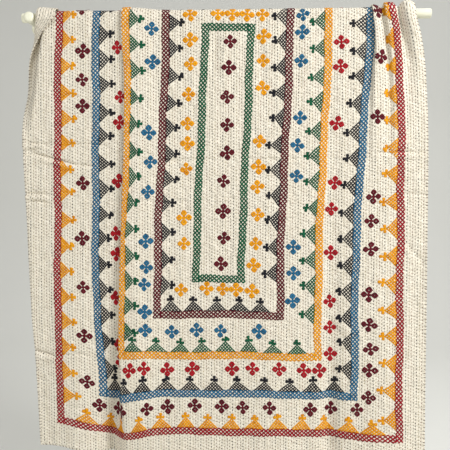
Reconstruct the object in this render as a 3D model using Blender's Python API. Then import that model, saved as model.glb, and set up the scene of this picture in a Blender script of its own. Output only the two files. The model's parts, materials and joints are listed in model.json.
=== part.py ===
"""Kantha quilt hung over a round wooden wall pole.

Metres, +Z up.  The origin is on the wall plane (Y = 0), level with the pole's axis and
midway along the pole; +X runs along the pole to the right and the quilt's face looks
along -Y.  The quilt is one closed sheet that passes over the pole: a long front drop
and a short back drop.  Every point of it is named by two lengths measured on the cloth,
"across" from its middle line and "down" from the crest of the pole (negative behind).
"""

from collections import namedtuple
from math import pi, radians

import bmesh
import bpy
import numpy as np

# ---- quilt, as cut -----------------------------------------------------------------
FRONT_DROP = 1.697          # cloth from the crest to the front hem
BACK_DROP = 0.593           # cloth from the crest to the back hem
THICKNESS = 0.003
RIGHT_WIDTH = 0.755         # cloth from the middle line to the right hem
LEFT_WIDTH_AT_CREST = 0.816
LEFT_TAPER = 0.048          # the left hem slants in by this much per metre of drop
LEFT_BAND = 0.656           # outer band of the left side, where the slanted margin starts
CORNER_LIFT = 0.038         # the lower left corner hangs this much high

# ---- pole and brackets -------------------------------------------------------------
POLE_RADIUS = 0.0175
POLE_HALF_LENGTH = 0.7625
POLE_CHAMFER = 0.0015
STAND_OFF = 0.095           # wall plane to pole axis
CLOTH_CLEARANCE = 0.0025
TOUCHING_GAP = 0.0003
ARM_X = {"left": -0.729, "right": 0.678}
ARM_RADIUS = 0.0195
ARM_DROP = 0.004            # arm axis below the pole axis
CUP_FRONT = 0.029           # straight part of the cup in front of the pole axis
CUP_BACK = 0.021
NOSE_DOME = 0.009
NECK_RADIUS = 0.0105
NECK_DROP = 0.0125
ROSE_RADIUS = 0.031
ROSE_DEPTH = 0.012

WRAP_RADIUS = POLE_RADIUS + CLOTH_CLEARANCE + THICKNESS / 2
QUARTER_WRAP = WRAP_RADIUS * pi / 2

# ---- folds of the quilt ------------------------------------------------------------
# A turn bends the cloth's level section: "degrees" of heading are gained over "run"
# metres of cloth from "start" metres beyond the middle line, at each "down" station.
# Positive degrees turn outwards, away from the pole.
Turn = namedtuple("Turn", "down start run degrees")
# A pleat is two opposite turns "depth" metres apart, each made over "softness"; the
# level that it gains or loses is given back between "settle_from" and "settle_to".
Pleat = namedtuple("Pleat", "side settle_from settle_to stations")
PleatStation = namedtuple("PleatStation", "down start depth softness degrees")
# A swell stands proud of the cloth by "height" at "at", fading over "width".
Swell = namedtuple("Swell", "side at width stations")
SwellStation = namedtuple("SwellStation", "down height")

PLEATS = (
    Pleat("left", 0.20, 0.358, (
        PleatStation(-0.593, 0.380, 0.019, 0.010, -50), PleatStation(-0.12, 0.376, 0.018, 0.008, -120),
        PleatStation(0.00, 0.376, 0.018, 0.007, -163), PleatStation(0.10, 0.375, 0.018, 0.007, -162),
        PleatStation(0.25, 0.366, 0.018, 0.007, -160), PleatStation(0.45, 0.364, 0.018, 0.007, -155),
        PleatStation(0.80, 0.375, 0.019, 0.008, -142), PleatStation(1.20, 0.382, 0.023, 0.010, -118),
        PleatStation(1.45, 0.368, 0.048, 0.018, -78), PleatStation(1.697, 0.345, 0.085, 0.030, -43))),
    Pleat("left", 0.20, 0.358, (
        PleatStation(-0.593, 0.420, 0.050, 0.030, 0), PleatStation(1.05, 0.420, 0.050, 0.030, 0),
        PleatStation(1.45, 0.426, 0.068, 0.030, 20), PleatStation(1.697, 0.430, 0.085, 0.030, 43))),
    Pleat("right", 0.585, 0.612, (
        PleatStation(-0.593, 0.545, 0.012, 0.010, 20), PleatStation(-0.06, 0.555, 0.014, 0.009, 90),
        PleatStation(0.00, 0.556, 0.017, 0.007, 162), PleatStation(0.09, 0.555, 0.016, 0.008, 118),
        PleatStation(0.30, 0.540, 0.014, 0.010, 62), PleatStation(0.55, 0.532, 0.014, 0.012, 18),
        PleatStation(0.80, 0.532, 0.014, 0.012, 0), PleatStation(1.697, 0.532, 0.014, 0.012, 0))),
    Pleat("right", 0.66, 0.688, (
        PleatStation(-0.593, 0.614, 0.012, 0.010, 15), PleatStation(-0.06, 0.614, 0.014, 0.010, 50),
        PleatStation(0.00, 0.614, 0.016, 0.009, 84), PleatStation(0.12, 0.614, 0.016, 0.009, 70),
        PleatStation(0.30, 0.614, 0.015, 0.010, 42), PleatStation(0.50, 0.614, 0.014, 0.012, 10),
        PleatStation(0.70, 0.614, 0.014, 0.012, 0), PleatStation(1.697, 0.614, 0.014, 0.012, 0))),
)

# The left margin bends back below the pole and curls forward again to its hem.
LEFT_BEND = (
    Turn(-0.593, 0.700, 0.020, 0), Turn(0.030, 0.695, 0.020, 0),
    Turn(0.064, 0.698, 0.018, -28), Turn(0.105, 0.703, 0.016, -55),
    Turn(0.20, 0.718, 0.018, -58), Turn(0.33, 0.731, 0.022, -52),
    Turn(0.43, 0.742, 0.030, -24), Turn(0.54, 0.750, 0.040, 0),
    Turn(1.697, 0.690, 0.040, 0),
)
LEFT_CURL = (
    Turn(-0.593, 0.693, 0.040, 174), Turn(-0.10, 0.700, 0.038, 178),
    Turn(-0.05, 0.718, 0.036, 184),
    Turn(0.048, 0.722, 0.036, 186), Turn(0.070, 0.728, 0.042, 205),
    Turn(0.105, 0.741, 0.046, 202), Turn(0.20, 0.766, 0.040, 146),
    Turn(0.33, 0.772, 0.036, 60), Turn(0.43, 0.770, 0.040, 30),
    Turn(0.54, 0.755, 0.040, 6), Turn(1.00, 0.730, 0.045, -8),
    Turn(1.697, 0.690, 0.045, 6),
)
# The right margin humps over its bracket and turns under behind the pole.
RIGHT_HUMP_RISE = (
    Turn(-0.593, 0.680, 0.010, 0), Turn(-0.034, 0.680, 0.010, 0),
    Turn(-0.012, 0.683, 0.009, 50), Turn(0.030, 0.681, 0.009, 62),
    Turn(0.064, 0.681, 0.009, 62), Turn(0.13, 0.686, 0.012, 44),
    Turn(0.24, 0.694, 0.020, 14), Turn(0.42, 0.700, 0.020, 0),
    Turn(1.697, 0.700, 0.020, 0),
)
RIGHT_HUMP_FALL = (
    Turn(-0.593, 0.700, 0.020, 0), Turn(-0.034, 0.700, 0.020, 0),
    Turn(-0.012, 0.697, 0.038, -76), Turn(0.030, 0.698, 0.046, -86),
    Turn(0.064, 0.699, 0.048, -86), Turn(0.13, 0.702, 0.046, -66),
    Turn(0.24, 0.712, 0.044, -26), Turn(0.42, 0.715, 0.040, -5),
    Turn(0.90, 0.715, 0.040, 6), Turn(1.697, 0.715, 0.040, -6),
)
RIGHT_CURL = (
    Turn(-0.593, 0.640, 0.042, 172), Turn(-0.20, 0.636, 0.038, 178),
    Turn(-0.034, 0.634, 0.034, 180), Turn(-0.023, 0.680, 0.034, 180),
    Turn(-0.012, 0.738, 0.034, 180), Turn(0.010, 0.820, 0.036, 180),
    Turn(0.050, 0.860, 0.036, 180), Turn(1.697, 0.860, 0.036, 180),
)

SWELLS = (
    Swell("left", 0.545, 0.009, (SwellStation(-0.10, 0.0), SwellStation(0.0, 0.005),
                                 SwellStation(0.05, 0.008), SwellStation(0.16, 0.0))),
    Swell("left", 0.575, 0.008, (SwellStation(-0.10, 0.0), SwellStation(0.0, 0.004),
                                 SwellStation(0.05, 0.007), SwellStation(0.13, 0.0))),
    Swell("left", 0.604, 0.009, (SwellStation(-0.10, 0.0), SwellStation(0.0, 0.005),
                                 SwellStation(0.06, 0.006), SwellStation(0.12, 0.0))),
    Swell("left", 0.470, 0.022, (SwellStation(0.05, 0.0), SwellStation(0.13, -0.005),
                                 SwellStation(0.30, 0.0))),
    Swell("left", 0.035, 0.016, (SwellStation(0.05, 0.0), SwellStation(0.14, -0.005),
                                 SwellStation(0.34, 0.0))),
    Swell("right", 0.105, 0.018, (SwellStation(0.05, 0.0), SwellStation(0.12, -0.006),
                                  SwellStation(0.30, 0.0))),
    Swell("left", 0.230, 0.120, (SwellStation(0.30, 0.0), SwellStation(0.80, 0.006),
                                 SwellStation(1.697, 0.004))),
    Swell("left", 0.600, 0.060, (SwellStation(0.60, 0.0), SwellStation(1.10, 0.006),
                                 SwellStation(1.697, 0.016))),
    Swell("right", 0.405, 0.030, (SwellStation(0.10, 0.0), SwellStation(0.50, -0.007),
                                  SwellStation(1.10, -0.011), SwellStation(1.697, -0.028))),
    Swell("right", 0.180, 0.090, (SwellStation(0.70, 0.0), SwellStation(1.30, 0.005),
                                  SwellStation(1.697, 0.010))),
    Swell("right", 0.600, 0.090, (SwellStation(0.50, 0.0), SwellStation(1.20, 0.006),
                                  SwellStation(1.697, 0.018))),
    Swell("right", 0.200, 0.080, (SwellStation(-0.593, 0.012), SwellStation(-0.05, 0.0))),
    Swell("left", 0.180, 0.070, (SwellStation(-0.593, 0.014), SwellStation(-0.05, 0.0))),
    Swell("left", 0.560, 0.080, (SwellStation(-0.593, 0.012), SwellStation(-0.05, 0.0))),
)

# ---- mesh of the quilt -------------------------------------------------------------
FINE_STEP = 0.001           # cloth step of the section's integration
COLUMNS_LEFT = 32
COLUMNS_RIGHT = 27
FOLD_SHARE = 0.62           # share of the columns that gather where the cloth turns
ROW_DOWNS = (-0.593, -0.43, -0.28, -0.17, -0.10, -0.065, -0.046, -0.034, -0.023, -0.012,
             0.0, 0.012, 0.023, 0.034, 0.048, 0.064, 0.082, 0.105, 0.135, 0.168, 0.205,
             0.25, 0.30, 0.36, 0.43, 0.51, 0.62, 0.80, 1.02, 1.24, 1.44, 1.59, 1.697)

Finish = namedtuple("Finish", "red green blue roughness metallic")
CREAM_COTTON = Finish(0.78, 0.70, 0.56, 0.90, 0.0)
IVORY_PAINT = Finish(0.87, 0.84, 0.72, 0.38, 0.0)


def clear_scene():
    """Remove every object that the file holds."""
    for item in list(bpy.data.objects):
        bpy.data.objects.remove(item, do_unlink=True)


def make_material(name, finish):
    """A plain Principled material of one finish."""
    material = bpy.data.materials.new(name)
    material.use_nodes = True
    shader = material.node_tree.nodes["Principled BSDF"]
    shader.inputs["Base Color"].default_value = (finish.red, finish.green, finish.blue, 1.0)
    shader.inputs["Roughness"].default_value = finish.roughness
    shader.inputs["Metallic"].default_value = finish.metallic
    return material


def smooth_step(x):
    """0 below 0, 1 above 1, with level ends."""
    x = np.clip(x, 0.0, 1.0)
    return x * x * (3.0 - 2.0 * x)


def along(stations, column, down):
    """A station table's column at each drop, on a smooth curve through the stations."""
    drops = np.array([station.down for station in stations])
    values = np.array([getattr(station, column) for station in stations])
    slopes = np.gradient(values, drops)
    level = np.zeros(len(values), dtype=bool)
    steps = np.diff(values)
    level[1:-1] = steps[:-1] * steps[1:] <= 0.0
    level[[0, -1]] = True
    slopes[level] = 0.0
    down = np.clip(down, drops[0], drops[-1])
    piece = np.clip(np.searchsorted(drops, down, side="right") - 1, 0, len(drops) - 2)
    span = drops[piece + 1] - drops[piece]
    x = (down - drops[piece]) / span
    rise = values[piece + 1] - values[piece]
    limit = 3.0 * rise / span
    first = np.where(rise >= 0, np.minimum(slopes[piece], limit), np.maximum(slopes[piece], limit))
    last = np.where(rise >= 0, np.minimum(slopes[piece + 1], limit),
                    np.maximum(slopes[piece + 1], limit))
    return (values[piece] + rise * x * x * (3.0 - 2.0 * x)
            + span * first * x * (1.0 - x) ** 2 - span * last * x * x * (1.0 - x))


def turned(stations, across, down):
    """Heading in radians that one turn adds, on a grid of across by down."""
    start = along(stations, "start", down)[:, None]
    run = along(stations, "run", down)[:, None]
    degrees = along(stations, "degrees", down)[:, None]
    return np.radians(degrees) * smooth_step((across[None, :] - start) / run)


def pleated(pleat, across, down):
    """Heading in radians of one pleat: out over its softness, held, and back."""
    start = along(pleat.stations, "start", down)[:, None]
    depth = along(pleat.stations, "depth", down)[:, None]
    softness = along(pleat.stations, "softness", down)[:, None]
    degrees = along(pleat.stations, "degrees", down)[:, None]
    into = smooth_step((across[None, :] - start) / softness)
    back = smooth_step((across[None, :] - start - depth) / softness)
    return np.radians(degrees) * (into - back)


def half_section(side, down):
    """Level sections of one half of the quilt, from its middle line outwards.

    Returns the fine across lengths and, for each drop, the distance sideways and the
    distance proud of the base wrap.  The heading's cosine and sine are summed.
    """
    widest = max(RIGHT_WIDTH, LEFT_WIDTH_AT_CREST + LEFT_TAPER * BACK_DROP)
    across = np.arange(0.0, widest + FINE_STEP, FINE_STEP)
    heading = np.zeros((len(down), len(across)))
    given_back = np.zeros_like(heading)
    for pleat in PLEATS:
        if pleat.side != side:
            continue
        bend = pleated(pleat, across, down)
        heading += bend
        gained = np.sin(bend).sum(axis=1, keepdims=True) * FINE_STEP
        span = pleat.settle_to - pleat.settle_from
        given_back += gained * smooth_step((across[None, :] - pleat.settle_from) / span)
    turns = (LEFT_BEND, LEFT_CURL) if side == "left" else (RIGHT_HUMP_RISE, RIGHT_HUMP_FALL,
                                                         RIGHT_CURL)
    for stations in turns:
        heading += turned(stations, across, down)
    sideways = (np.cumsum(np.cos(heading), axis=1) - np.cos(heading)) * FINE_STEP
    proud = (np.cumsum(np.sin(heading), axis=1) - np.sin(heading)) * FINE_STEP - given_back
    for swell in SWELLS:
        if swell.side == side:
            height = along(swell.stations, "height", down)[:, None]
            proud += height * np.exp(-((across[None, :] - swell.at) / swell.width) ** 2)
    return across, sideways, proud, heading


def hem_distance(side, down):
    """Cloth from the middle line to the side hem, at each drop."""
    if side == "right":
        return np.full(len(down), RIGHT_WIDTH)
    return LEFT_WIDTH_AT_CREST - LEFT_TAPER * np.maximum(down, -0.1)


def column_shares(side, count):
    """Where the columns lie across one half, as cloth lengths for a straight hem.

    They gather where the cloth turns: equal steps of plain length mixed with turning.
    """
    down = np.array(ROW_DOWNS)
    across, _, _, heading = half_section(side, down)
    width = RIGHT_WIDTH if side == "right" else LEFT_WIDTH_AT_CREST
    keep = across <= width
    bending = np.abs(np.gradient(heading[:, keep], axis=1)).max(axis=0)
    bending = np.convolve(bending, np.ones(5) / 5.0, mode="same")
    weight = (1.0 - FOLD_SHARE) / width + FOLD_SHARE * bending / (bending.sum() * FINE_STEP)
    grown = np.concatenate(([0.0], np.cumsum(weight[:-1] * FINE_STEP)))
    return np.interp(np.linspace(0.0, grown[-1], count + 1), grown, across[keep])


def base_wrap(down):
    """Point (Y, Z) and outward normal of the wrap over the pole at each drop."""
    angle = np.clip(down / WRAP_RADIUS, -pi / 2, pi / 2)
    straight = np.abs(down) - QUARTER_WRAP
    place = np.stack([-WRAP_RADIUS * np.sin(angle), WRAP_RADIUS * np.cos(angle)], axis=-1)
    place[..., 1] -= np.maximum(straight, 0.0)
    normal = np.stack([-np.sin(angle), np.cos(angle)], axis=-1)
    return place, normal


def half_surface(side, shares, down):
    """Mid-surface points of one half: rows by columns by XYZ."""
    across, sideways, proud, _ = half_section(side, down)
    hem = hem_distance(side, down)
    band = LEFT_BAND
    width = RIGHT_WIDTH if side == "right" else LEFT_WIDTH_AT_CREST
    points = np.zeros((len(down), len(shares), 3))
    place, normal = base_wrap(down)
    sign = 1.0 if side == "right" else -1.0
    for row in range(len(down)):
        stretch = (hem[row] - band) / (width - band)
        cloth = np.where(shares > band, band + (shares - band) * stretch, shares)
        out = np.interp(cloth, across, proud[row])
        points[row, :, 0] = sign * np.interp(cloth, across, sideways[row])
        points[row, :, 1] = place[row, 0] + normal[row, 0] * out - STAND_OFF
        points[row, :, 2] = place[row, 1] + normal[row, 1] * out
        if side == "left":
            lift = CORNER_LIFT * smooth_step((cloth - 0.40) / 0.30)
            points[row, :, 2] += lift * np.clip(down[row] / FRONT_DROP, 0.0, 1.0) ** 2
    return points


def quilt_points():
    """Mid-surface of the whole quilt, from the left hem to the right hem."""
    down = np.array(ROW_DOWNS)
    left = half_surface("left", column_shares("left", COLUMNS_LEFT), down)
    right = half_surface("right", column_shares("right", COLUMNS_RIGHT), down)
    return np.concatenate([left[:, ::-1], right[:, 1:]], axis=1)


def surface_normals(points):
    """Unit normals of a grid of points, towards the quilt's face."""
    lengthwise = np.gradient(points, axis=0)
    crosswise = np.gradient(points, axis=1)
    normals = np.cross(lengthwise, crosswise)
    return normals / np.linalg.norm(normals, axis=-1, keepdims=True)


def build_quilt(material):
    """The quilt as one closed sheet: face grid, reverse grid and a wall round the hem."""
    middle = quilt_points()
    offset = surface_normals(middle) * THICKNESS / 2
    rows, columns = middle.shape[:2]
    face = (middle + offset).reshape(-1, 3)
    reverse = (middle - offset).reshape(-1, 3)
    index = np.arange(rows * columns).reshape(rows, columns)
    corner = [index[:-1, :-1], index[1:, :-1], index[1:, 1:], index[:-1, 1:]]
    face_quads = np.stack([c.ravel() for c in corner], axis=1)
    reverse_quads = face_quads[:, ::-1] + rows * columns
    loop = np.concatenate([index[:, 0], index[-1, 1:], index[-2::-1, -1], index[0, -2:0:-1]])
    onward = np.roll(loop, -1)
    wall = np.stack([loop, loop + rows * columns, onward + rows * columns, onward], axis=1)
    quads = np.concatenate([face_quads, reverse_quads, wall])
    mesh = bpy.data.meshes.new("quilt")
    mesh.from_pydata(np.concatenate([face, reverse]).tolist(), [], quads.tolist())
    tidy = bmesh.new()
    tidy.from_mesh(mesh)
    bmesh.ops.triangulate(tidy, faces=tidy.faces)
    bmesh.ops.recalc_face_normals(tidy, faces=tidy.faces)
    tidy.to_mesh(mesh)
    tidy.free()
    mesh.materials.append(material)
    quilt = bpy.data.objects.new("quilt", mesh)
    bpy.context.collection.objects.link(quilt)
    return quilt


def turned_profile(name, profile, segments):
    """A solid turned about the Y axis from (Y, radius) stations, closed at both ends."""
    lathe = bmesh.new()
    rings = []
    for y, radius in profile:
        ring = []
        for step in range(segments):
            angle = 2.0 * pi * (step + 0.5) / segments
            ring.append(lathe.verts.new((radius * np.sin(angle), y, radius * np.cos(angle))))
        rings.append(ring)
    for first, second in zip(rings, rings[1:]):
        for step in range(segments):
            nxt = (step + 1) % segments
            lathe.faces.new((first[step], first[nxt], second[nxt], second[step]))
    lathe.faces.new(rings[0])
    lathe.faces.new(rings[-1])
    bmesh.ops.recalc_face_normals(lathe, faces=lathe.faces)
    mesh = bpy.data.meshes.new(name)
    lathe.to_mesh(mesh)
    lathe.free()
    return mesh


def place_object(name, mesh, location, material):
    """Link a mesh as an object, shaded smooth across its shallow edges."""
    mesh.shade_smooth()
    mesh.set_sharp_from_angle(angle=radians(35.0))
    mesh.materials.append(material)
    item = bpy.data.objects.new(name, mesh)
    item.location = location
    bpy.context.collection.objects.link(item)
    return item


def build_pole(material):
    """The round pole with lightly chamfered ends."""
    ends = POLE_HALF_LENGTH
    inner = POLE_RADIUS - POLE_CHAMFER
    profile = ((-ends, inner), (-ends + POLE_CHAMFER, POLE_RADIUS),
               (ends - POLE_CHAMFER, POLE_RADIUS), (ends, inner))
    pole = place_object("pole", turned_profile("pole", profile, 32),
                        (0.0, -STAND_OFF, 0.0), material)
    pole.rotation_euler = (0.0, 0.0, -pi / 2)
    return pole


def build_recess_cutter(side):
    """The open-topped recess that the pole drops into, cut across the cup."""
    radius = POLE_RADIUS + TOUCHING_GAP
    reach = ARM_RADIUS + 0.01
    cutter = bmesh.new()
    outline = []
    for step in range(17):
        angle = pi + pi * step / 16
        outline.append((radius * np.cos(angle), radius * np.sin(angle)))
    outline.append((radius, 0.05))
    outline.append((-radius, 0.05))
    near = [cutter.verts.new((-reach, y, z)) for y, z in outline]
    cap = cutter.faces.new(near)
    moved = bmesh.ops.extrude_face_region(cutter, geom=[cap])
    fresh = [item for item in moved["geom"] if isinstance(item, bmesh.types.BMVert)]
    bmesh.ops.translate(cutter, verts=fresh, vec=(2.0 * reach, 0.0, 0.0))
    bmesh.ops.recalc_face_normals(cutter, faces=cutter.faces)
    mesh = bpy.data.meshes.new(side + "_recess")
    cutter.to_mesh(mesh)
    cutter.free()
    item = bpy.data.objects.new(side + "_recess", mesh)
    item.location = (ARM_X[side], -STAND_OFF, 0.0)
    item.hide_render = True
    item.display_type = "WIRE"
    bpy.context.collection.objects.link(item)
    return item


def build_arm(side, material):
    """A turned bracket arm: domed nose, cup round the pole, slim neck to the rose."""
    profile = []
    for step in range(5):
        angle = pi / 2 * step / 4
        swell = 0.18 + 0.82 * np.sin(angle)
        profile.append((-CUP_FRONT - NOSE_DOME * np.cos(angle), ARM_RADIUS * swell))
    neck_end = STAND_OFF - ROSE_DEPTH - TOUCHING_GAP
    profile += [(CUP_BACK, ARM_RADIUS), (CUP_BACK + 0.008, NECK_RADIUS),
                (neck_end - 0.008, NECK_RADIUS), (neck_end, NECK_RADIUS + 0.004)]
    arm = place_object(side + "_arm", turned_profile(side + "_arm", profile, 28),
                       (ARM_X[side], -STAND_OFF, -ARM_DROP), material)
    neck = arm.data.vertices
    for vertex in neck:
        if vertex.co.y > CUP_BACK + 0.001:
            vertex.co.z -= NECK_DROP - ARM_DROP
    recess = arm.modifiers.new("pole_recess", "BOOLEAN")
    recess.operation = "DIFFERENCE"
    recess.object = build_recess_cutter(side)
    return arm


def build_rose(side, material):
    """The round wall plate that the arm stands on."""
    profile = ((-ROSE_DEPTH, ROSE_RADIUS - 0.004), (-ROSE_DEPTH + 0.004, ROSE_RADIUS),
               (0.0, ROSE_RADIUS))
    return place_object(side + "_rose", turned_profile(side + "_rose", profile, 32),
                        (ARM_X[side], 0.0, -NECK_DROP), material)


def main():
    """Build the whole object."""
    clear_scene()
    cotton = make_material("cream_cotton", CREAM_COTTON)
    paint = make_material("ivory_paint", IVORY_PAINT)
    build_quilt(cotton)
    build_pole(paint)
    for side in ARM_X:
        build_arm(side, paint)
        build_rose(side, paint)


main()
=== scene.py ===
"""Looks of the kantha quilt that hangs over its ivory wall pole.

Metres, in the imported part's frame: origin on the wall plane, level with the pole's axis;
+X to the right along the pole, +Z up, the quilt's face towards -Y.  A place on the quilt
is named by two lengths measured on the cloth: "across" from its middle line (negative to
the left) and "down" from the crest of the pole (negative behind it).
"""

import json
import logging
import math
from dataclasses import dataclass, field
from enum import Enum
from typing import Any, NamedTuple, Sequence

import bpy
import numpy as np
from mathutils import Matrix, Vector
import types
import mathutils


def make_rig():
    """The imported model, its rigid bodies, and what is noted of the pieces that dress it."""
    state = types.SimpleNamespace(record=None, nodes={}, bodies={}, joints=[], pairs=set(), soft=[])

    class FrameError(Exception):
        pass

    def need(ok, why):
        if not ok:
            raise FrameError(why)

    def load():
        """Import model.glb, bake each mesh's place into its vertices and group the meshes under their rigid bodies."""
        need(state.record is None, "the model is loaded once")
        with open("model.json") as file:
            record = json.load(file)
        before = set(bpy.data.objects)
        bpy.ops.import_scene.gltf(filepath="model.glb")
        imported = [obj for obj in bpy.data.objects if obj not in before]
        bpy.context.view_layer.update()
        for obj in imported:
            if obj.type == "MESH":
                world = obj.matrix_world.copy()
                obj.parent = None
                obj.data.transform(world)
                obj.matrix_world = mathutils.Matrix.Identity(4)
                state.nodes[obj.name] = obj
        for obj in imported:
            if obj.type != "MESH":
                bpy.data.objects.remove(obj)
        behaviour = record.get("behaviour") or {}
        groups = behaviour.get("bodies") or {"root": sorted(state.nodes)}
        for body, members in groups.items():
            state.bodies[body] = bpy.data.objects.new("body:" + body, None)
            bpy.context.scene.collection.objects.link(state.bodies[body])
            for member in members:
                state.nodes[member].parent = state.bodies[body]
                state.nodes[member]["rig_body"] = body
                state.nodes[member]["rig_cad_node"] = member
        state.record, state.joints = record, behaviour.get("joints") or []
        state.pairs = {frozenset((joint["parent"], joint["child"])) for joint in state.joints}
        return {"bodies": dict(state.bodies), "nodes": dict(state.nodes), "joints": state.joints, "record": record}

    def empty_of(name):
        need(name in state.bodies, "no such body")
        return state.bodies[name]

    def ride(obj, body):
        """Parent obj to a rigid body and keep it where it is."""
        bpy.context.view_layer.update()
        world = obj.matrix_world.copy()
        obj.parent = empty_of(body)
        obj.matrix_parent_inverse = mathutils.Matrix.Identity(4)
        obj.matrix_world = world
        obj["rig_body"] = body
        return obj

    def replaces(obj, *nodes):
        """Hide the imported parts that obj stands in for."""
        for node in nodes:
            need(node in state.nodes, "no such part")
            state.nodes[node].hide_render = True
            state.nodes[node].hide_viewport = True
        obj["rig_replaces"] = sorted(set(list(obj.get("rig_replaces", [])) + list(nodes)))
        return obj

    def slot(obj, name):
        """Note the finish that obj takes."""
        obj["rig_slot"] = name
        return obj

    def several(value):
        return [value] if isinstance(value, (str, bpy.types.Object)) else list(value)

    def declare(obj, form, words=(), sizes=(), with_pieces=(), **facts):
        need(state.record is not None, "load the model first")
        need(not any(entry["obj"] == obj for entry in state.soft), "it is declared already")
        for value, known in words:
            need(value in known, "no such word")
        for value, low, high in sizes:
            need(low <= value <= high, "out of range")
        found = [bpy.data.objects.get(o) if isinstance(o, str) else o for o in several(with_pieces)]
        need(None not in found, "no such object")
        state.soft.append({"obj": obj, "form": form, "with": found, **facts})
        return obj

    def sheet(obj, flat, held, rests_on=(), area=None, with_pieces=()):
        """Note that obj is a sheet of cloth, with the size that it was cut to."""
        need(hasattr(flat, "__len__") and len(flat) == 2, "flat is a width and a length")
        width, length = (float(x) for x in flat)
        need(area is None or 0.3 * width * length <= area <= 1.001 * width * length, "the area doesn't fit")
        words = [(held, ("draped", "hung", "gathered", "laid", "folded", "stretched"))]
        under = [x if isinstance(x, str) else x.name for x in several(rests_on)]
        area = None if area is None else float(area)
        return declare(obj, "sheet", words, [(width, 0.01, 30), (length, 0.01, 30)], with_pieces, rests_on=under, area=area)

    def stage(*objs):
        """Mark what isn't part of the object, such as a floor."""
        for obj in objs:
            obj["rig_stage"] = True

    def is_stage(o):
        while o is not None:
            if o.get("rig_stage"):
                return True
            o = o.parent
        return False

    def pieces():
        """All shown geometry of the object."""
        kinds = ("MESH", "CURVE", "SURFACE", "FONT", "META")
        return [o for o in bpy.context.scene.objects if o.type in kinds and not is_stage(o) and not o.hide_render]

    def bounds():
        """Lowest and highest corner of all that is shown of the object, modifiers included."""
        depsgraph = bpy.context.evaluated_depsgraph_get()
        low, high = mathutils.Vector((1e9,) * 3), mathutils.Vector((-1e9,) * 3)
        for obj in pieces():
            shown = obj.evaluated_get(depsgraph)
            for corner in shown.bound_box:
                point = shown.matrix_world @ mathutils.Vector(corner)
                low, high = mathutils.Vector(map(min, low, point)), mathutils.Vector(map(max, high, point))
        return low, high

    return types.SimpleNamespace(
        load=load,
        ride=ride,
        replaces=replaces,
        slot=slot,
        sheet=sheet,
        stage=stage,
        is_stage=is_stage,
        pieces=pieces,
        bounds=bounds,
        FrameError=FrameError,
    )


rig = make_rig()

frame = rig.load()
CAD_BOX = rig.bounds()

LOG = logging.getLogger("kantha_quilt")
BODY = "root"
CLOTH_SLOT = "cream_cotton"
SEED = 1907
MM = 0.001


# ---------------------------------------------------------------- shader expressions


def tone(red: int, green: int, blue: int) -> tuple[float, float, float, float]:
    """Linear colour of a display colour given in 0 to 255 steps."""
    parts = [step / 255.0 for step in (red, green, blue)]
    linear = [p / 12.92 if p <= 0.04045 else ((p + 0.055) / 1.055) ** 2.4 for p in parts]
    return (linear[0], linear[1], linear[2], 1.0)


class Socket:
    """An output of a node tree that can be used in Python expressions."""

    def __init__(self, tree: "FinishTree", link: bpy.types.NodeSocket) -> None:
        """Keep the tree that makes further nodes and the output itself."""
        self.tree = tree
        self.link = link

    def __add__(self, other: "Operand") -> "Socket":
        """Sum."""
        return self.tree.maths("ADD", self, other)

    def __radd__(self, other: "Operand") -> "Socket":
        """Sum with a number on the left."""
        return self.tree.maths("ADD", other, self)

    def __sub__(self, other: "Operand") -> "Socket":
        """Difference."""
        return self.tree.maths("SUBTRACT", self, other)

    def __rsub__(self, other: "Operand") -> "Socket":
        """Difference with a number on the left."""
        return self.tree.maths("SUBTRACT", other, self)

    def __mul__(self, other: "Operand") -> "Socket":
        """Product."""
        return self.tree.maths("MULTIPLY", self, other)

    def __rmul__(self, other: "Operand") -> "Socket":
        """Product with a number on the left."""
        return self.tree.maths("MULTIPLY", other, self)

    def __truediv__(self, other: "Operand") -> "Socket":
        """Quotient."""
        return self.tree.maths("DIVIDE", self, other)

    def __neg__(self) -> "Socket":
        """Negative."""
        return self.tree.maths("MULTIPLY", self, -1.0)

    def __abs__(self) -> "Socket":
        """Absolute value."""
        return self.tree.maths("ABSOLUTE", self)

    def __gt__(self, other: "Operand") -> "Socket":
        """1 where this is the greater."""
        return self.tree.maths("GREATER_THAN", self, other)

    def __lt__(self, other: "Operand") -> "Socket":
        """1 where this is the smaller."""
        return self.tree.maths("LESS_THAN", self, other)

    def __round__(self, digits: int = 0) -> "Socket":
        """Nearest whole number."""
        return self.tree.maths("ROUND", self)

    def sine(self) -> "Socket":
        """Sine of an angle in radians."""
        return self.tree.maths("SINE", self)

    def part(self) -> "Socket":
        """What is left over the whole number below."""
        return self.tree.maths("FRACT", self)

    def bell(self, width: float) -> "Socket":
        """A bell that is 1 at 0 and falls off over a width: exp(-(x / width) squared)."""
        scaled = self / width
        return self.tree.maths("EXPONENT", -(scaled * scaled))

    def fade(self, near: float, far: float) -> "Socket":
        """0 at near, 1 at far, straight between and level beyond."""
        node = {"clamp": True}
        values = {"Value": self, "From Min": near, "From Max": far}
        return self.tree.node("ShaderNodeMapRange", node, values)


Operand = Socket | float


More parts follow.
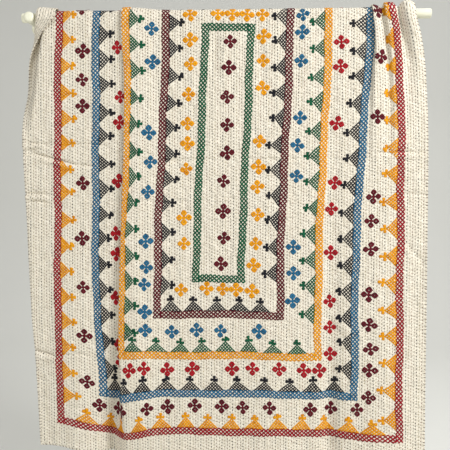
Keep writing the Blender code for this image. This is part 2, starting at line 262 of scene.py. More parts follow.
class FinishTree:
    """The nodes of one material, made from Python expressions."""

    def __init__(self, name: str) -> None:
        """Start a material that holds a plain Principled shader."""
        self.material = bpy.data.materials.new(name)
        self.material.use_nodes = True
        self.nodes = self.material.node_tree.nodes
        self.links = self.material.node_tree.links
        self.shader = self.nodes["Principled BSDF"]

    def feed(self, socket: bpy.types.NodeSocket, value: Any) -> None:
        """Link a socket to another, or set its value."""
        if isinstance(value, Socket):
            self.links.new(value.link, socket)
        else:
            socket.default_value = value

    def node(self, kind: str, settings: dict[str, Any] | None = None,
             inputs: dict[Any, Any] | None = None, output: Any = 0) -> Socket:
        """Make any node.

        Args:
            kind: the node's type.
            settings: its own settings, set first.
            inputs: a value or a Socket for each input, by name or number.
            output: the name or number of the output to return.

        Returns:
            The chosen output.
        """
        made = self.nodes.new(kind)
        for key, value in (settings or {}).items():
            setattr(made, key, value)
        for key, value in (inputs or {}).items():
            self.feed(made.inputs[key], value)
        return Socket(self, made.outputs[output])

    def maths(self, operation: str, *values: Operand) -> Socket:
        """A Math node on one or two values."""
        return self.node("ShaderNodeMath", {"operation": operation}, dict(enumerate(values)))

    def mix(self, share: Operand, first: Any, second: Any) -> Socket:
        """Blend two colours: share 0 gives the first, 1 the second."""
        return self.node("ShaderNodeMix", {"data_type": "RGBA"}, {0: share, 6: first, 7: second}, 2)

    def noise(self, place: Socket, scale: float, detail: float = 2.0) -> Socket:
        """Smooth noise about 0.5 at a place, with "scale" waves to the metre."""
        values = {"Vector": place, "Scale": scale, "Detail": detail, "Roughness": 0.55}
        return self.node("ShaderNodeTexNoise", None, values, "Fac")

    def object_place(self) -> Socket:
        """The shaded point in the object's own metres."""
        return self.node("ShaderNodeTexCoord", None, None, "Object")

    def chart(self, name: str) -> tuple[Socket, Socket, Socket]:
        """A UV map as one vector and as its two lengths."""
        place = self.node("ShaderNodeUVMap", {"uv_map": name})
        first = self.node("ShaderNodeSeparateXYZ", None, {0: place}, "X")
        second = self.node("ShaderNodeSeparateXYZ", None, {0: place}, "Y")
        return place, first, second

    def finish(self, colour: Any, height: Socket, depth: float, **constants: Any) -> bpy.types.Material:
        """Feed the shader.

        Args:
            colour: base colour.
            height: relief in millimetres.
            depth: strength of the relief, 0 to 1.
            constants: further shader inputs, by name with _ for a space.

        Returns:
            The finished material.
        """
        bump = self.node("ShaderNodeBump", None,
                         {"Height": height, "Strength": depth, "Distance": MM}, "Normal")
        self.feed(self.shader.inputs["Base Color"], colour)
        self.feed(self.shader.inputs["Normal"], bump)
        for key, value in constants.items():
            self.feed(self.shader.inputs[key.replace("_", " ").title().replace("Ior", "IOR")], value)
        return self.material


# ---------------------------------------------------------------- meshes


def make_piece(name: str, points: np.ndarray, faces: Sequence[np.ndarray], chart_name: str,
               chart: np.ndarray, material: bpy.types.Material) -> bpy.types.Object:
    """Put whole arrays into one smooth mesh, turned outwards, on its body.

    The enclosed volume is the sum over triangles of a . (b x c) / 6; where it comes out
    negative, every face is turned round.

    Args:
        name: the piece's name.
        points: N x 3 places.
        faces: arrays of 3 or 4 point numbers to a face.
        chart_name: name of the UV map.
        chart: N x 2 chart lengths.
        material: the finish.

    Returns:
        The new object.
    """
    volume = 0.0
    for group in faces:
        for step in range(1, group.shape[1] - 1):
            a, b, c = points[group[:, 0]], points[group[:, step]], points[group[:, step + 1]]
            volume += float(np.einsum("ij,ij->i", a, np.cross(b, c)).sum())
    if volume < 0.0:
        faces = [group[:, ::-1] for group in faces]
    corners = np.concatenate([group.ravel() for group in faces])
    counts = np.concatenate([np.full(len(group), group.shape[1]) for group in faces])
    starts = np.concatenate(([0], np.cumsum(counts)[:-1]))
    mesh = bpy.data.meshes.new(name)
    mesh.vertices.add(len(points))
    mesh.vertices.foreach_set("co", points.astype(np.float32).ravel())
    mesh.loops.add(len(corners))
    mesh.loops.foreach_set("vertex_index", corners.astype(np.int32))
    mesh.polygons.add(len(counts))
    mesh.polygons.foreach_set("loop_start", starts.astype(np.int32))
    layer = mesh.uv_layers.new(name=chart_name)
    layer.data.foreach_set("uv", chart[corners].astype(np.float32).ravel())
    mesh.update(calc_edges=True)
    mesh.validate()
    mesh.shade_smooth()
    mesh.materials.append(material)
    piece = bpy.data.objects.new(name, mesh)
    bpy.context.scene.collection.objects.link(piece)
    triangles = int((counts - 2).sum())
    LOG.info("%s: %d points, %d triangles", name, len(points), triangles)
    return piece


def smooth_step(x: np.ndarray) -> np.ndarray:
    """0 below 0, 1 above 1, with level ends: x squared times (3 - 2x)."""
    x = np.clip(x, 0.0, 1.0)
    return x * x * (3.0 - 2.0 * x)


def bell(x: np.ndarray, width: float) -> np.ndarray:
    """1 at 0, falling off over a width: exp(-(x / width) squared)."""
    return np.exp(-((x / width) ** 2))


# ---------------------------------------------------------------- how the cloth hangs


class Turn(NamedTuple):
    """Heading that the level section gains over "run" from "start", at one drop."""

    down: float
    start: float
    run: float
    degrees: float


class PleatStation(NamedTuple):
    """One drop of a pleat: two opposite turns "depth" apart, each over "softness"."""

    down: float
    start: float
    depth: float
    softness: float
    degrees: float


class Pleat(NamedTuple):
    """A pleat, and where the level that it gains is given back."""

    side: str
    settle_from: float
    settle_to: float
    stations: tuple[PleatStation, ...]


class Rise(NamedTuple):
    """Height of a swell at one drop."""

    down: float
    height: float


class Swell(NamedTuple):
    """A soft ridge or valley that runs down the cloth at "at", fading over "width"."""

    side: str
    at: float
    width: float
    stations: tuple[Rise, ...]


class Crease(NamedTuple):
    """A soft fold line through places on the cloth, "height" proud (negative is a trough)."""

    width: float
    height: float
    route: tuple[tuple[float, float], ...]


PLEATS = (
    Pleat("left", 0.20, 0.358, (
        PleatStation(-0.593, 0.380, 0.019, 0.010, -50), PleatStation(-0.12, 0.376, 0.018, 0.008, -120),
        PleatStation(0.00, 0.376, 0.018, 0.007, -163), PleatStation(0.10, 0.375, 0.018, 0.007, -162),
        PleatStation(0.25, 0.366, 0.018, 0.007, -160), PleatStation(0.45, 0.364, 0.018, 0.007, -155),
        PleatStation(0.80, 0.375, 0.019, 0.008, -142), PleatStation(1.20, 0.382, 0.023, 0.010, -118),
        PleatStation(1.45, 0.368, 0.048, 0.018, -78), PleatStation(1.697, 0.345, 0.085, 0.030, -43))),
    Pleat("left", 0.20, 0.358, (
        PleatStation(-0.593, 0.420, 0.050, 0.030, 0), PleatStation(1.05, 0.420, 0.050, 0.030, 0),
        PleatStation(1.45, 0.426, 0.068, 0.030, 20), PleatStation(1.697, 0.430, 0.085, 0.030, 43))),
    Pleat("right", 0.585, 0.612, (
        PleatStation(-0.593, 0.545, 0.012, 0.010, 20), PleatStation(-0.06, 0.555, 0.014, 0.009, 90),
        PleatStation(0.00, 0.556, 0.017, 0.007, 162), PleatStation(0.09, 0.555, 0.016, 0.008, 118),
        PleatStation(0.30, 0.540, 0.014, 0.010, 62), PleatStation(0.55, 0.532, 0.014, 0.012, 18),
        PleatStation(0.80, 0.532, 0.014, 0.012, 0), PleatStation(1.697, 0.532, 0.014, 0.012, 0))),
    Pleat("right", 0.66, 0.688, (
        PleatStation(-0.593, 0.614, 0.012, 0.010, 15), PleatStation(-0.06, 0.614, 0.014, 0.010, 50),
        PleatStation(0.00, 0.614, 0.016, 0.009, 84), PleatStation(0.12, 0.614, 0.016, 0.009, 70),
        PleatStation(0.30, 0.614, 0.015, 0.010, 42), PleatStation(0.50, 0.614, 0.014, 0.012, 10),
        PleatStation(0.70, 0.614, 0.014, 0.012, 0), PleatStation(1.697, 0.614, 0.014, 0.012, 0))),
)
LEFT_BEND = (
    Turn(-0.593, 0.700, 0.020, 0), Turn(0.030, 0.695, 0.020, 0),
    Turn(0.064, 0.698, 0.018, -28), Turn(0.105, 0.703, 0.016, -55),
    Turn(0.20, 0.718, 0.018, -58), Turn(0.33, 0.731, 0.022, -52),
    Turn(0.43, 0.742, 0.030, -24), Turn(0.54, 0.750, 0.040, 0),
    Turn(1.697, 0.690, 0.040, 0),
)
LEFT_CURL = (
    Turn(-0.593, 0.693, 0.040, 174), Turn(-0.10, 0.700, 0.038, 178),
    Turn(-0.05, 0.718, 0.036, 184),
    Turn(0.048, 0.722, 0.036, 186), Turn(0.070, 0.728, 0.042, 205),
    Turn(0.105, 0.741, 0.046, 202), Turn(0.20, 0.766, 0.040, 146),
    Turn(0.33, 0.772, 0.036, 60), Turn(0.43, 0.770, 0.040, 30),
    Turn(0.54, 0.755, 0.040, 6), Turn(1.00, 0.730, 0.045, -8),
    Turn(1.697, 0.690, 0.045, 6),
)
RIGHT_HUMP_RISE = (
    Turn(-0.593, 0.680, 0.010, 0), Turn(-0.034, 0.680, 0.010, 0),
    Turn(-0.012, 0.683, 0.009, 50), Turn(0.030, 0.681, 0.009, 62),
    Turn(0.064, 0.681, 0.009, 62), Turn(0.13, 0.686, 0.012, 44),
    Turn(0.24, 0.694, 0.020, 14), Turn(0.42, 0.700, 0.020, 0),
    Turn(1.697, 0.700, 0.020, 0),
)
RIGHT_HUMP_FALL = (
    Turn(-0.593, 0.700, 0.020, 0), Turn(-0.034, 0.700, 0.020, 0),
    Turn(-0.012, 0.697, 0.038, -76), Turn(0.030, 0.698, 0.046, -86),
    Turn(0.064, 0.699, 0.048, -86), Turn(0.13, 0.702, 0.046, -66),
    Turn(0.24, 0.712, 0.044, -26), Turn(0.42, 0.715, 0.040, -5),
    Turn(0.90, 0.715, 0.040, 6), Turn(1.697, 0.715, 0.040, -6),
)
RIGHT_CURL = (
    Turn(-0.593, 0.640, 0.042, 172), Turn(-0.20, 0.636, 0.038, 178),
    Turn(-0.034, 0.634, 0.034, 180), Turn(-0.023, 0.680, 0.034, 180),
    Turn(-0.012, 0.738, 0.034, 180), Turn(0.010, 0.820, 0.036, 180),
    Turn(0.050, 0.860, 0.036, 180), Turn(1.697, 0.860, 0.036, 180),
)
SWELLS = (
    Swell("left", 0.545, 0.009, (Rise(-0.10, 0.0), Rise(0.0, 0.005), Rise(0.05, 0.008),
                                 Rise(0.16, 0.0))),
    Swell("left", 0.575, 0.008, (Rise(-0.10, 0.0), Rise(0.0, 0.004), Rise(0.05, 0.007),
                                 Rise(0.13, 0.0))),
    Swell("left", 0.604, 0.009, (Rise(-0.10, 0.0), Rise(0.0, 0.005), Rise(0.06, 0.006),
                                 Rise(0.12, 0.0))),
    Swell("left", 0.470, 0.022, (Rise(0.05, 0.0), Rise(0.13, -0.005), Rise(0.30, 0.0))),
    Swell("left", 0.035, 0.016, (Rise(0.05, 0.0), Rise(0.14, -0.005), Rise(0.34, 0.0))),
    Swell("right", 0.105, 0.018, (Rise(0.05, 0.0), Rise(0.12, -0.006), Rise(0.30, 0.0))),
    Swell("left", 0.230, 0.120, (Rise(0.30, 0.0), Rise(0.80, 0.006), Rise(1.697, 0.004))),
    Swell("left", 0.600, 0.060, (Rise(0.60, 0.0), Rise(1.10, 0.006), Rise(1.697, 0.016))),
    Swell("right", 0.405, 0.030, (Rise(0.10, 0.0), Rise(0.50, -0.007), Rise(1.10, -0.011),
                                  Rise(1.697, -0.028))),
    Swell("right", 0.180, 0.090, (Rise(0.70, 0.0), Rise(1.30, 0.005), Rise(1.697, 0.010))),
    Swell("right", 0.600, 0.090, (Rise(0.50, 0.0), Rise(1.20, 0.006), Rise(1.697, 0.018))),
    Swell("right", 0.200, 0.080, (Rise(-0.593, 0.012), Rise(-0.05, 0.0))),
    Swell("left", 0.180, 0.070, (Rise(-0.593, 0.014), Rise(-0.05, 0.0))),
    Swell("left", 0.560, 0.080, (Rise(-0.593, 0.012), Rise(-0.05, 0.0))),
)
CREASES = (
    Crease(0.0045, -0.0066, ((-0.795, 0.497), (-0.747, 0.512), (-0.700, 0.514), (-0.668, 0.503))),
    Crease(0.0055, 0.0045, ((-0.790, 0.526), (-0.745, 0.524), (-0.700, 0.533), (-0.672, 0.540))),
    Crease(0.0045, -0.0087, ((-0.795, 0.541), (-0.742, 0.535), (-0.722, 0.528))),
    Crease(0.0050, -0.0099, ((-0.795, 0.552), (-0.749, 0.549), (-0.706, 0.561), (-0.684, 0.566),
                             (-0.632, 0.581), (-0.580, 0.592), (-0.520, 0.594))),
    Crease(0.0070, 0.0041, ((-0.760, 0.566), (-0.690, 0.584), (-0.600, 0.603))),
    Crease(0.0045, -0.0061, ((-0.640, 0.520), (-0.560, 0.512), (-0.480, 0.516))),
    Crease(0.0060, -0.0044, ((-0.360, 0.566), (-0.200, 0.573), (-0.020, 0.569))),
    Crease(0.0060, -0.0042, ((0.050, 0.566), (0.220, 0.572), (0.380, 0.560))),
    Crease(0.0050, -0.0072, ((0.560, 0.548), (0.650, 0.540), (0.750, 0.545))),
    Crease(0.0070, 0.0036, ((0.640, 0.560), (0.750, 0.562))),
    Crease(0.0045, -0.0093, ((-0.790, 0.706), (-0.740, 0.703), (-0.690, 0.708))),
    Crease(0.0070, 0.0053, ((-0.785, 0.720), (-0.735, 0.722), (-0.700, 0.722))),
    Crease(0.0045, -0.0082, ((-0.770, 0.736), (-0.735, 0.733), (-0.690, 0.741))),
    Crease(0.0050, -0.0055, ((0.640, 0.700), (0.700, 0.697), (0.750, 0.701))),
    Crease(0.0060, -0.0038, ((-0.380, 0.722), (-0.220, 0.730), (-0.060, 0.722))),
    Crease(0.0055, -0.0110, ((-0.752, 1.318), (-0.720, 1.326), (-0.675, 1.340))),
    Crease(0.0080, 0.0053, ((-0.745, 1.343), (-0.700, 1.352), (-0.670, 1.360))),
    Crease(0.0045, -0.0072, ((-0.640, 1.332), (-0.590, 1.320), (-0.540, 1.322))),
    Crease(0.0080, -0.0045, ((-0.700, 0.978), (-0.655, 0.935), (-0.610, 0.915))),
    Crease(0.0100, 0.0043, ((0.385, 1.120), (0.430, 1.175), (0.475, 1.225))),
    Crease(0.0090, -0.0035, ((0.400, 1.150), (0.440, 1.205), (0.470, 1.255))),
    Crease(0.0080, -0.0060, ((0.680, 0.880), (0.720, 0.925), (0.750, 0.955))),
    Crease(0.0100, -0.0065, ((0.372, 1.200), (0.352, 1.330), (0.325, 1.470), (0.310, 1.690))),
    Crease(0.0110, 0.0058, ((-0.330, 0.980), (-0.318, 1.250), (-0.300, 1.600))),
    Crease(0.0120, -0.0051, ((0.120, 0.040), (0.135, 0.160), (0.150, 0.330))),
    Crease(0.0090, -0.0043, ((-0.020, 0.050), (-0.030, 0.140), (-0.022, 0.260))),
    Crease(0.0080, 0.0053, ((0.300, 0.030), (0.312, 0.110), (0.318, 0.220))),
    Crease(0.0080, 0.0049, ((0.460, 0.030), (0.452, 0.130), (0.440, 0.260))),
    Crease(0.0070, -0.0045, ((-0.755, 1.395), (-0.725, 1.372))),
    Crease(0.0060, -0.0072, ((-0.750, 1.452), (-0.715, 1.425))),
    Crease(0.0060, -0.0061, ((-0.746, 1.505), (-0.712, 1.480))),
)


def along(stations: Sequence[NamedTuple], column: str, down: np.ndarray) -> np.ndarray:
    """A station table's column at each drop, on a smooth curve through the stations.

    Between two stations the curve is the cubic with their slopes; a slope is the mean of
    its neighbours' (none at a peak or an end) and at most three times the straight one.

    Args:
        stations: rows with a "down" column, in order.
        column: the column that is read.
        down: drops.

    Returns:
        The column's value at each drop.
    """
    drops = np.array([station.down for station in stations])
    values = np.array([getattr(station, column) for station in stations])
    slopes = np.gradient(values, drops)
    level = np.zeros(len(values), dtype=bool)
    steps = np.diff(values)
    level[1:-1] = steps[:-1] * steps[1:] <= 0.0
    level[[0, -1]] = True
    slopes[level] = 0.0
    down = np.clip(down, drops[0], drops[-1])
    piece = np.clip(np.searchsorted(drops, down, side="right") - 1, 0, len(drops) - 2)
    span = drops[piece + 1] - drops[piece]
    x = (down - drops[piece]) / span
    rise = values[piece + 1] - values[piece]
    low, high = np.minimum(0.0, 3.0 * rise / span), np.maximum(0.0, 3.0 * rise / span)
    first, last = np.clip(slopes[piece], low, high), np.clip(slopes[piece + 1], low, high)
    return (values[piece] + rise * x * x * (3.0 - 2.0 * x)
            + span * first * x * (1.0 - x) ** 2 - span * last * x * x * (1.0 - x))


@dataclass
class Drape:
    """The hanging quilt as a surface over (across, down), kept on the cloth's own grid."""

    front_drop: float = 1.697
    back_drop: float = 0.593
    half_thickness: float = 0.0015
    right_width: float = 0.755
    left_width: float = 0.816
    left_taper: float = 0.048
    left_band: float = 0.656
    corner_lift: float = 0.038
    stand_off: float = 0.095
    wrap_radius: float = 0.0215
    fine_step: float = 0.001
    columns_left: int = 100
    columns_right: int = 90
    fold_share: float = 0.44
    rim: tuple[float, ...] = (0.0, 0.0004, 0.0013, 0.003, 0.007)
    row_runs: tuple[tuple[float, float], ...] = (
        (-0.586, 0.0130), (-0.05, 0.0050), (0.05, 0.0080), (0.14, 0.0125), (0.487, 0.0042),
        (0.607, 0.0120), (0.694, 0.0045), (0.752, 0.0125), (1.305, 0.0050), (1.365, 0.0122),
        (1.690, 0.0),
    )
    shares: np.ndarray = field(init=False)
    rows: np.ndarray = field(init=False)
    middle: np.ndarray = field(init=False)
    normal: np.ndarray = field(init=False)
    half: np.ndarray = field(init=False)

    def __post_init__(self) -> None:
        """Work the whole grid out once."""
        self.rows = self.row_drops()
        left = self.column_shares("left", self.columns_left)
        right = self.column_shares("right", self.columns_right)
        self.shares = np.concatenate([-left[::-1], right[1:]])
        halves = [self.half_surface("left", left)[:, ::-1], self.half_surface("right", right)[:, 1:]]
        base = np.concatenate(halves, axis=1)
        relief = self.relief(self.across_grid(), self.rows[:, None])
        self.middle = base + self.facing(base) * relief[..., None]
        self.normal = self.facing(self.middle)
        self.half = self.half_profile()

    def row_drops(self) -> np.ndarray:
        """Drops of the rows: runs of even steps, with close rows at both hems."""
        drops = [np.array(self.rim[:-1]) - self.back_drop]
        for (start, step), (end, _) in zip(self.row_runs, self.row_runs[1:]):
            count = max(1, round((end - start) / step))
            drops.append(np.linspace(start, end, count, endpoint=False))
        drops.append(self.front_drop - np.array(self.rim[::-1]))
        return np.concatenate(drops)

    def section(self, side: str, down: np.ndarray) -> tuple[np.ndarray, ...]:
        """Level sections of one half: sums of the heading's cosine and sine.

        Args:
            side: "left" or "right".
            down: drops of the sections.

        Returns:
            Fine across lengths, distance sideways, distance proud, and heading.
        """
        widest = max(self.right_width, self.left_width + self.left_taper * self.back_drop) + 0.02
        across = np.arange(0.0, widest, self.fine_step)
        heading = np.zeros((len(down), len(across)))
        given_back = np.zeros_like(heading)
        for pleat in (p for p in PLEATS if p.side == side):
            start, depth, softness, degrees = (
                along(pleat.stations, name, down)[:, None]
                for name in ("start", "depth", "softness", "degrees"))
            into = smooth_step((across[None, :] - start) / softness)
            back = smooth_step((across[None, :] - start - depth) / softness)
            bend = np.radians(degrees) * (into - back)
            heading += bend
            gained = np.sin(bend).sum(axis=1, keepdims=True) * self.fine_step
            span = pleat.settle_to - pleat.settle_from
            given_back += gained * smooth_step((across[None, :] - pleat.settle_from) / span)
        left, right = (LEFT_BEND, LEFT_CURL), (RIGHT_HUMP_RISE, RIGHT_HUMP_FALL, RIGHT_CURL)
        for stations in (left if side == "left" else right):
            start, run = (along(stations, name, down)[:, None] for name in ("start", "run"))
            degrees = along(stations, "degrees", down)[:, None]
            heading += np.radians(degrees) * smooth_step((across[None, :] - start) / run)
        sideways = (np.cumsum(np.cos(heading), axis=1) - np.cos(heading)) * self.fine_step
        proud = (np.cumsum(np.sin(heading), axis=1) - np.sin(heading)) * self.fine_step
        proud -= given_back
        for swell in (s for s in SWELLS if s.side == side):
            height = along(swell.stations, "height", down)[:, None]
            proud += height * np.exp(-((across[None, :] - swell.at) / swell.width) ** 2)
        return across, sideways, proud, heading

    def hem(self, side: str, down: np.ndarray) -> np.ndarray:
        """Cloth from the middle line to a side's hem, at each drop."""
        if side == "right":
            return np.full(np.shape(down), self.right_width)
        return self.left_width - self.left_taper * np.maximum(down, -0.1)

    def column_shares(self, side: str, count: int) -> np.ndarray:
        """Where one half's columns lie: plain length and turning in equal steps."""
        across, _, _, heading = self.section(side, self.rows)
        width = self.right_width if side == "right" else self.left_width
        keep = across <= width
        bending = np.abs(np.gradient(heading[:, keep], axis=1)).max(axis=0)
        bending = np.convolve(bending, np.ones(5) / 5.0, mode="same")
        plain = (1.0 - self.fold_share) / width
        weight = plain + self.fold_share * bending / (bending.sum() * self.fine_step)
        grown = np.concatenate(([0.0], np.cumsum(weight[:-1] * self.fine_step)))
        inner = np.interp(np.linspace(0.0, grown[-1], count + 1), grown, across[keep])
        rim = width - np.array(self.rim[::-1])
        return np.concatenate([inner[inner < rim[0] - 0.002], rim])

    def stretch(self, down: np.ndarray) -> np.ndarray:
        """How much the left margin's columns spread to end on the slanted hem."""
        return (self.hem("left", down) - self.left_band) / (self.left_width - self.left_band)

    def across_grid(self) -> np.ndarray:
        """Cloth length from the middle line at every grid point, rows by columns."""
        outer = np.maximum(-self.shares - self.left_band, 0.0)[None, :]
        return self.shares[None, :] - outer * (self.stretch(self.rows)[:, None] - 1.0)

    def half_surface(self, side: str, shares: np.ndarray) -> np.ndarray:
        """Mid-surface of one half: the level section carried along the wrap of the pole.

        The wrap is an arc of the wrap radius over the pole and straight down from its
        ends; a point stands off it, along its normal, by the section's proud distance.

        Args:
            side: "left" or "right".
            shares: columns, as cloth lengths for a straight hem.

        Returns:
            Points, rows by columns by XYZ.
        """
        down = self.rows
        across, sideways, proud, _ = self.section(side, down)
        angle = np.clip(down / self.wrap_radius, -math.pi / 2, math.pi / 2)
        straight = np.maximum(np.abs(down) - self.wrap_radius * math.pi / 2, 0.0)
        base_y, base_z = -self.wrap_radius * np.sin(angle), self.wrap_radius * np.cos(angle) - straight
        spread = self.stretch(down) if side == "left" else np.ones(len(down))
        points = np.zeros((len(down), len(shares), 3))
        for row, wide in enumerate(spread):
            cloth = shares + np.maximum(shares - self.left_band, 0.0) * (wide - 1.0)
            out = np.interp(cloth, across, proud[row])
            points[row, :, 0] = np.interp(cloth, across, sideways[row])
            points[row, :, 1] = base_y[row] - math.sin(angle[row]) * out - self.stand_off
            points[row, :, 2] = base_z[row] + math.cos(angle[row]) * out
            if side == "left":
                lift = self.corner_lift * smooth_step((cloth - 0.40) / 0.30)
                points[row, :, 2] += lift * np.clip(down[row] / self.front_drop, 0.0, 1.0) ** 2
        points[..., 0] *= -1.0 if side == "left" else 1.0
        return points

    def relief(self, across: np.ndarray, down: np.ndarray) -> np.ndarray:
        """Soft unevenness: the creases, and long shallow waves of the hanging cloth.

        Each crease is a bell across the distance to its route, thinning to nothing at
        the route's ends; the waves are products of sines that die out over the pole.

        Args:
            across: cloth lengths from the middle line.
            down: drops.

        Returns:
            Height along the normal.
        """
        across, down = np.broadcast_arrays(across, down)
        calm = smooth_step((np.abs(down) - 0.05) / 0.15)
        waves = 0.9 * np.sin(across * 61.0 + 1.7 * np.sin(down * 7.3)) * np.sin(down * 4.1 + 0.8)
        waves += 0.6 * np.sin(across * 109.0 + 2.1 * np.sin(down * 11.0 + across * 3.0))
        waves += 0.5 * np.sin(down * 83.0 + 2.6 * np.sin(across * 19.0)) * np.sin(across * 23.0)
        waves += 0.35 * np.sin(down * 190.0 + across * 71.0) * np.sin(across * 150.0 - down * 41.0)
        total = waves * MM * calm
        for crease in CREASES:
            route = np.array(crease.route)
            lengths = np.concatenate(([0.0], np.cumsum(np.hypot(*np.diff(route, axis=0).T))))
            best = np.full(across.shape, 1.0)
            ends = np.zeros(across.shape)
            for step in range(len(route) - 1):
                ax, dx = route[step + 1] - route[step]
                size = ax * ax + dx * dx
                t = np.clip(((across - route[step, 0]) * ax + (down - route[step, 1]) * dx) / size, 0, 1)
                away = np.hypot(across - route[step, 0] - t * ax, down - route[step, 1] - t * dx)
                place = (lengths[step] + t * (lengths[step + 1] - lengths[step])) / lengths[-1]
                ends = np.where(away < best, np.sqrt(np.sin(math.pi * (0.06 + 0.88 * place))), ends)
                best = np.minimum(best, away)
            total = total + crease.height * ends * np.exp(-((best / crease.width) ** 2))
        return total

    def facing(self, points: np.ndarray) -> np.ndarray:
        """Unit normals of a grid of points, towards the quilt's face."""
        normals = np.cross(np.gradient(points, axis=0), np.gradient(points, axis=1))
        return normals / np.linalg.norm(normals, axis=-1, keepdims=True)

    def half_profile(self) -> np.ndarray:
        """Half thickness: a quarter-ellipse at the hem, a low turned hem, then even."""
        across = self.across_grid()
        sides = np.minimum(self.right_width - across, across + self.hem("left", self.rows)[:, None])
        ends = np.minimum(self.rows + self.back_drop, self.front_drop - self.rows)[:, None]
        edge = np.clip(np.minimum(sides, ends), 0.0, None)
        round_off = np.sqrt(1.0 - (1.0 - np.clip(edge / 0.003, 0.0, 1.0)) ** 2)
        turned = 0.0006 * np.exp(-(((edge - 0.006) / 0.005) ** 2))
        return (self.half_thickness + turned) * round_off

    def grid_place(self, values: np.ndarray, marks: np.ndarray) -> tuple[np.ndarray, np.ndarray]:
        """Cell number and share within it of each value, running on straight past the ends."""
        cell = np.clip(np.searchsorted(marks, values, side="right") - 1, 0, len(marks) - 2)
        return cell, (values - marks[cell]) / (marks[cell + 1] - marks[cell])

    def place(self, across: np.ndarray, down: np.ndarray, lift: np.ndarray | float,
              side: float = 1.0) -> np.ndarray:
        """Points on the very mesh of the quilt, blended between its four grid corners.

        Args:
            across: cloth lengths from the middle line.
            down: drops.
            lift: height above the face (below the reverse, where side is -1).
            side: 1 for the face, -1 for the reverse.

        Returns:
            Points, with XYZ last.
        """
        outer = np.maximum(-across - self.left_band, 0.0)
        shares = across + outer - outer / self.stretch(down)
        row, fall = self.grid_place(down, self.rows)
        column, go = self.grid_place(shares, self.shares)
        corners = (((0, 0), (1 - fall) * (1 - go)), ((0, 1), (1 - fall) * go),
                   ((1, 0), fall * (1 - go)), ((1, 1), fall * go))
        middle = sum(self.middle[row + r, column + c] * w[..., None] for (r, c), w in corners)
        normal = sum(self.normal[row + r, column + c] * w[..., None] for (r, c), w in corners)
        half = sum(self.half[row + r, column + c] * w for (r, c), w in corners)
        normal /= np.linalg.norm(normal, axis=-1, keepdims=True)
        return middle + normal * (side * (np.maximum(half, 0.0) + lift))[..., None]


# ---------------------------------------------------------------- finishes


@dataclass(frozen=True)
class ThreadFinish:
    """Dyed cotton thread: plies that twist along the strand, with painted shade that leaves it lighter on the crown
    and darker at the edges.
    """

    name: str
    light: tuple[int, int, int]
    dark: tuple[int, int, int]
    ply: float = 0.0015

    def material(self) -> bpy.types.Material:
        """Colour from noise and from painted shade towards the strand's edges; relief from sloping plies."""
        tree = FinishTree(self.name)
        _, run, edge = tree.chart("strand")
        place = tree.object_place()
        plies = ((run + edge * self.ply) * (2.0 * math.pi / self.ply)).sine()
        blotch = tree.noise(place, 95.0)
        fuzz = tree.noise(place, 900.0, 1.0)
        # Painted shade: edge squared darkens the strand towards its sides; blotch and fuzz add random tone.
        shade = (edge * edge * 0.55 + (blotch - 0.40) * 2.4 + (0.5 - fuzz) * 0.5).fade(0.0, 1.0)
        colour = tree.mix(shade, tone(*self.light), tone(*self.dark))
        height = plies * 0.16 + fuzz * 0.25
        return tree.finish(colour, height, 0.8, roughness=0.85, sheen_weight=0.04,
                           sheen_roughness=0.45, specular_ior_level=0.25)


class Dye(Enum):
    """Thread colours of the embroidery and of the running stitches."""

    CRIMSON = ThreadFinish("crimson_thread", (160, 14, 32), (100, 4, 18))
    BLUE = ThreadFinish("blue_thread", (40, 106, 142), (14, 60, 90))
    OCHRE = ThreadFinish("ochre_thread", (234, 162, 14), (190, 110, 4))
    MAROON = ThreadFinish("maroon_thread", (98, 16, 30), (56, 6, 16))
    GREEN = ThreadFinish("green_thread", (14, 92, 60), (4, 52, 34))
    BLACK = ThreadFinish("black_thread", (30, 30, 36), (12, 12, 18))
    SCARLET = ThreadFinish("scarlet_thread", (172, 20, 32), (118, 6, 20))
    CHARCOAL = ThreadFinish("charcoal_thread", (40, 32, 34), (20, 16, 20))
    RUSSET = ThreadFinish("russet_thread", (122, 62, 50), (84, 38, 32))
    OLIVE = ThreadFinish("olive_thread", (156, 136, 78), (114, 96, 50))
    UMBER = ThreadFinish("umber_thread", (104, 82, 68), (70, 52, 44))

    def material(self) -> bpy.types.Material:
        """The dye's material, made once."""
        return bpy.data.materials.get(self.value.name) or self.value.material()

    def dark_tone(self) -> tuple[float, float, float, float]:
        """The dye's darker colour, for stitches that are only painted."""
        return tone(*self.value.dark)


@dataclass(frozen=True)
class StitchPlan:
    """Where the running stitches go, shared by the stitches and by the dimples they pull."""

    row_pitch: float = 0.0100
    stitch_pitch: float = 0.0119
    golden: float = 0.618034
    sway: float = 0.0008
    sway_turn: float = 21.0
    row_turn: float = 2.4

    def sway_at(self, down: Any, row: Any, sine: Any) -> Any:
        """How far a row wanders sideways: a long sine whose start differs by row."""
        return sine(down * self.sway_turn + row * self.row_turn) * self.sway


STITCHES = StitchPlan()


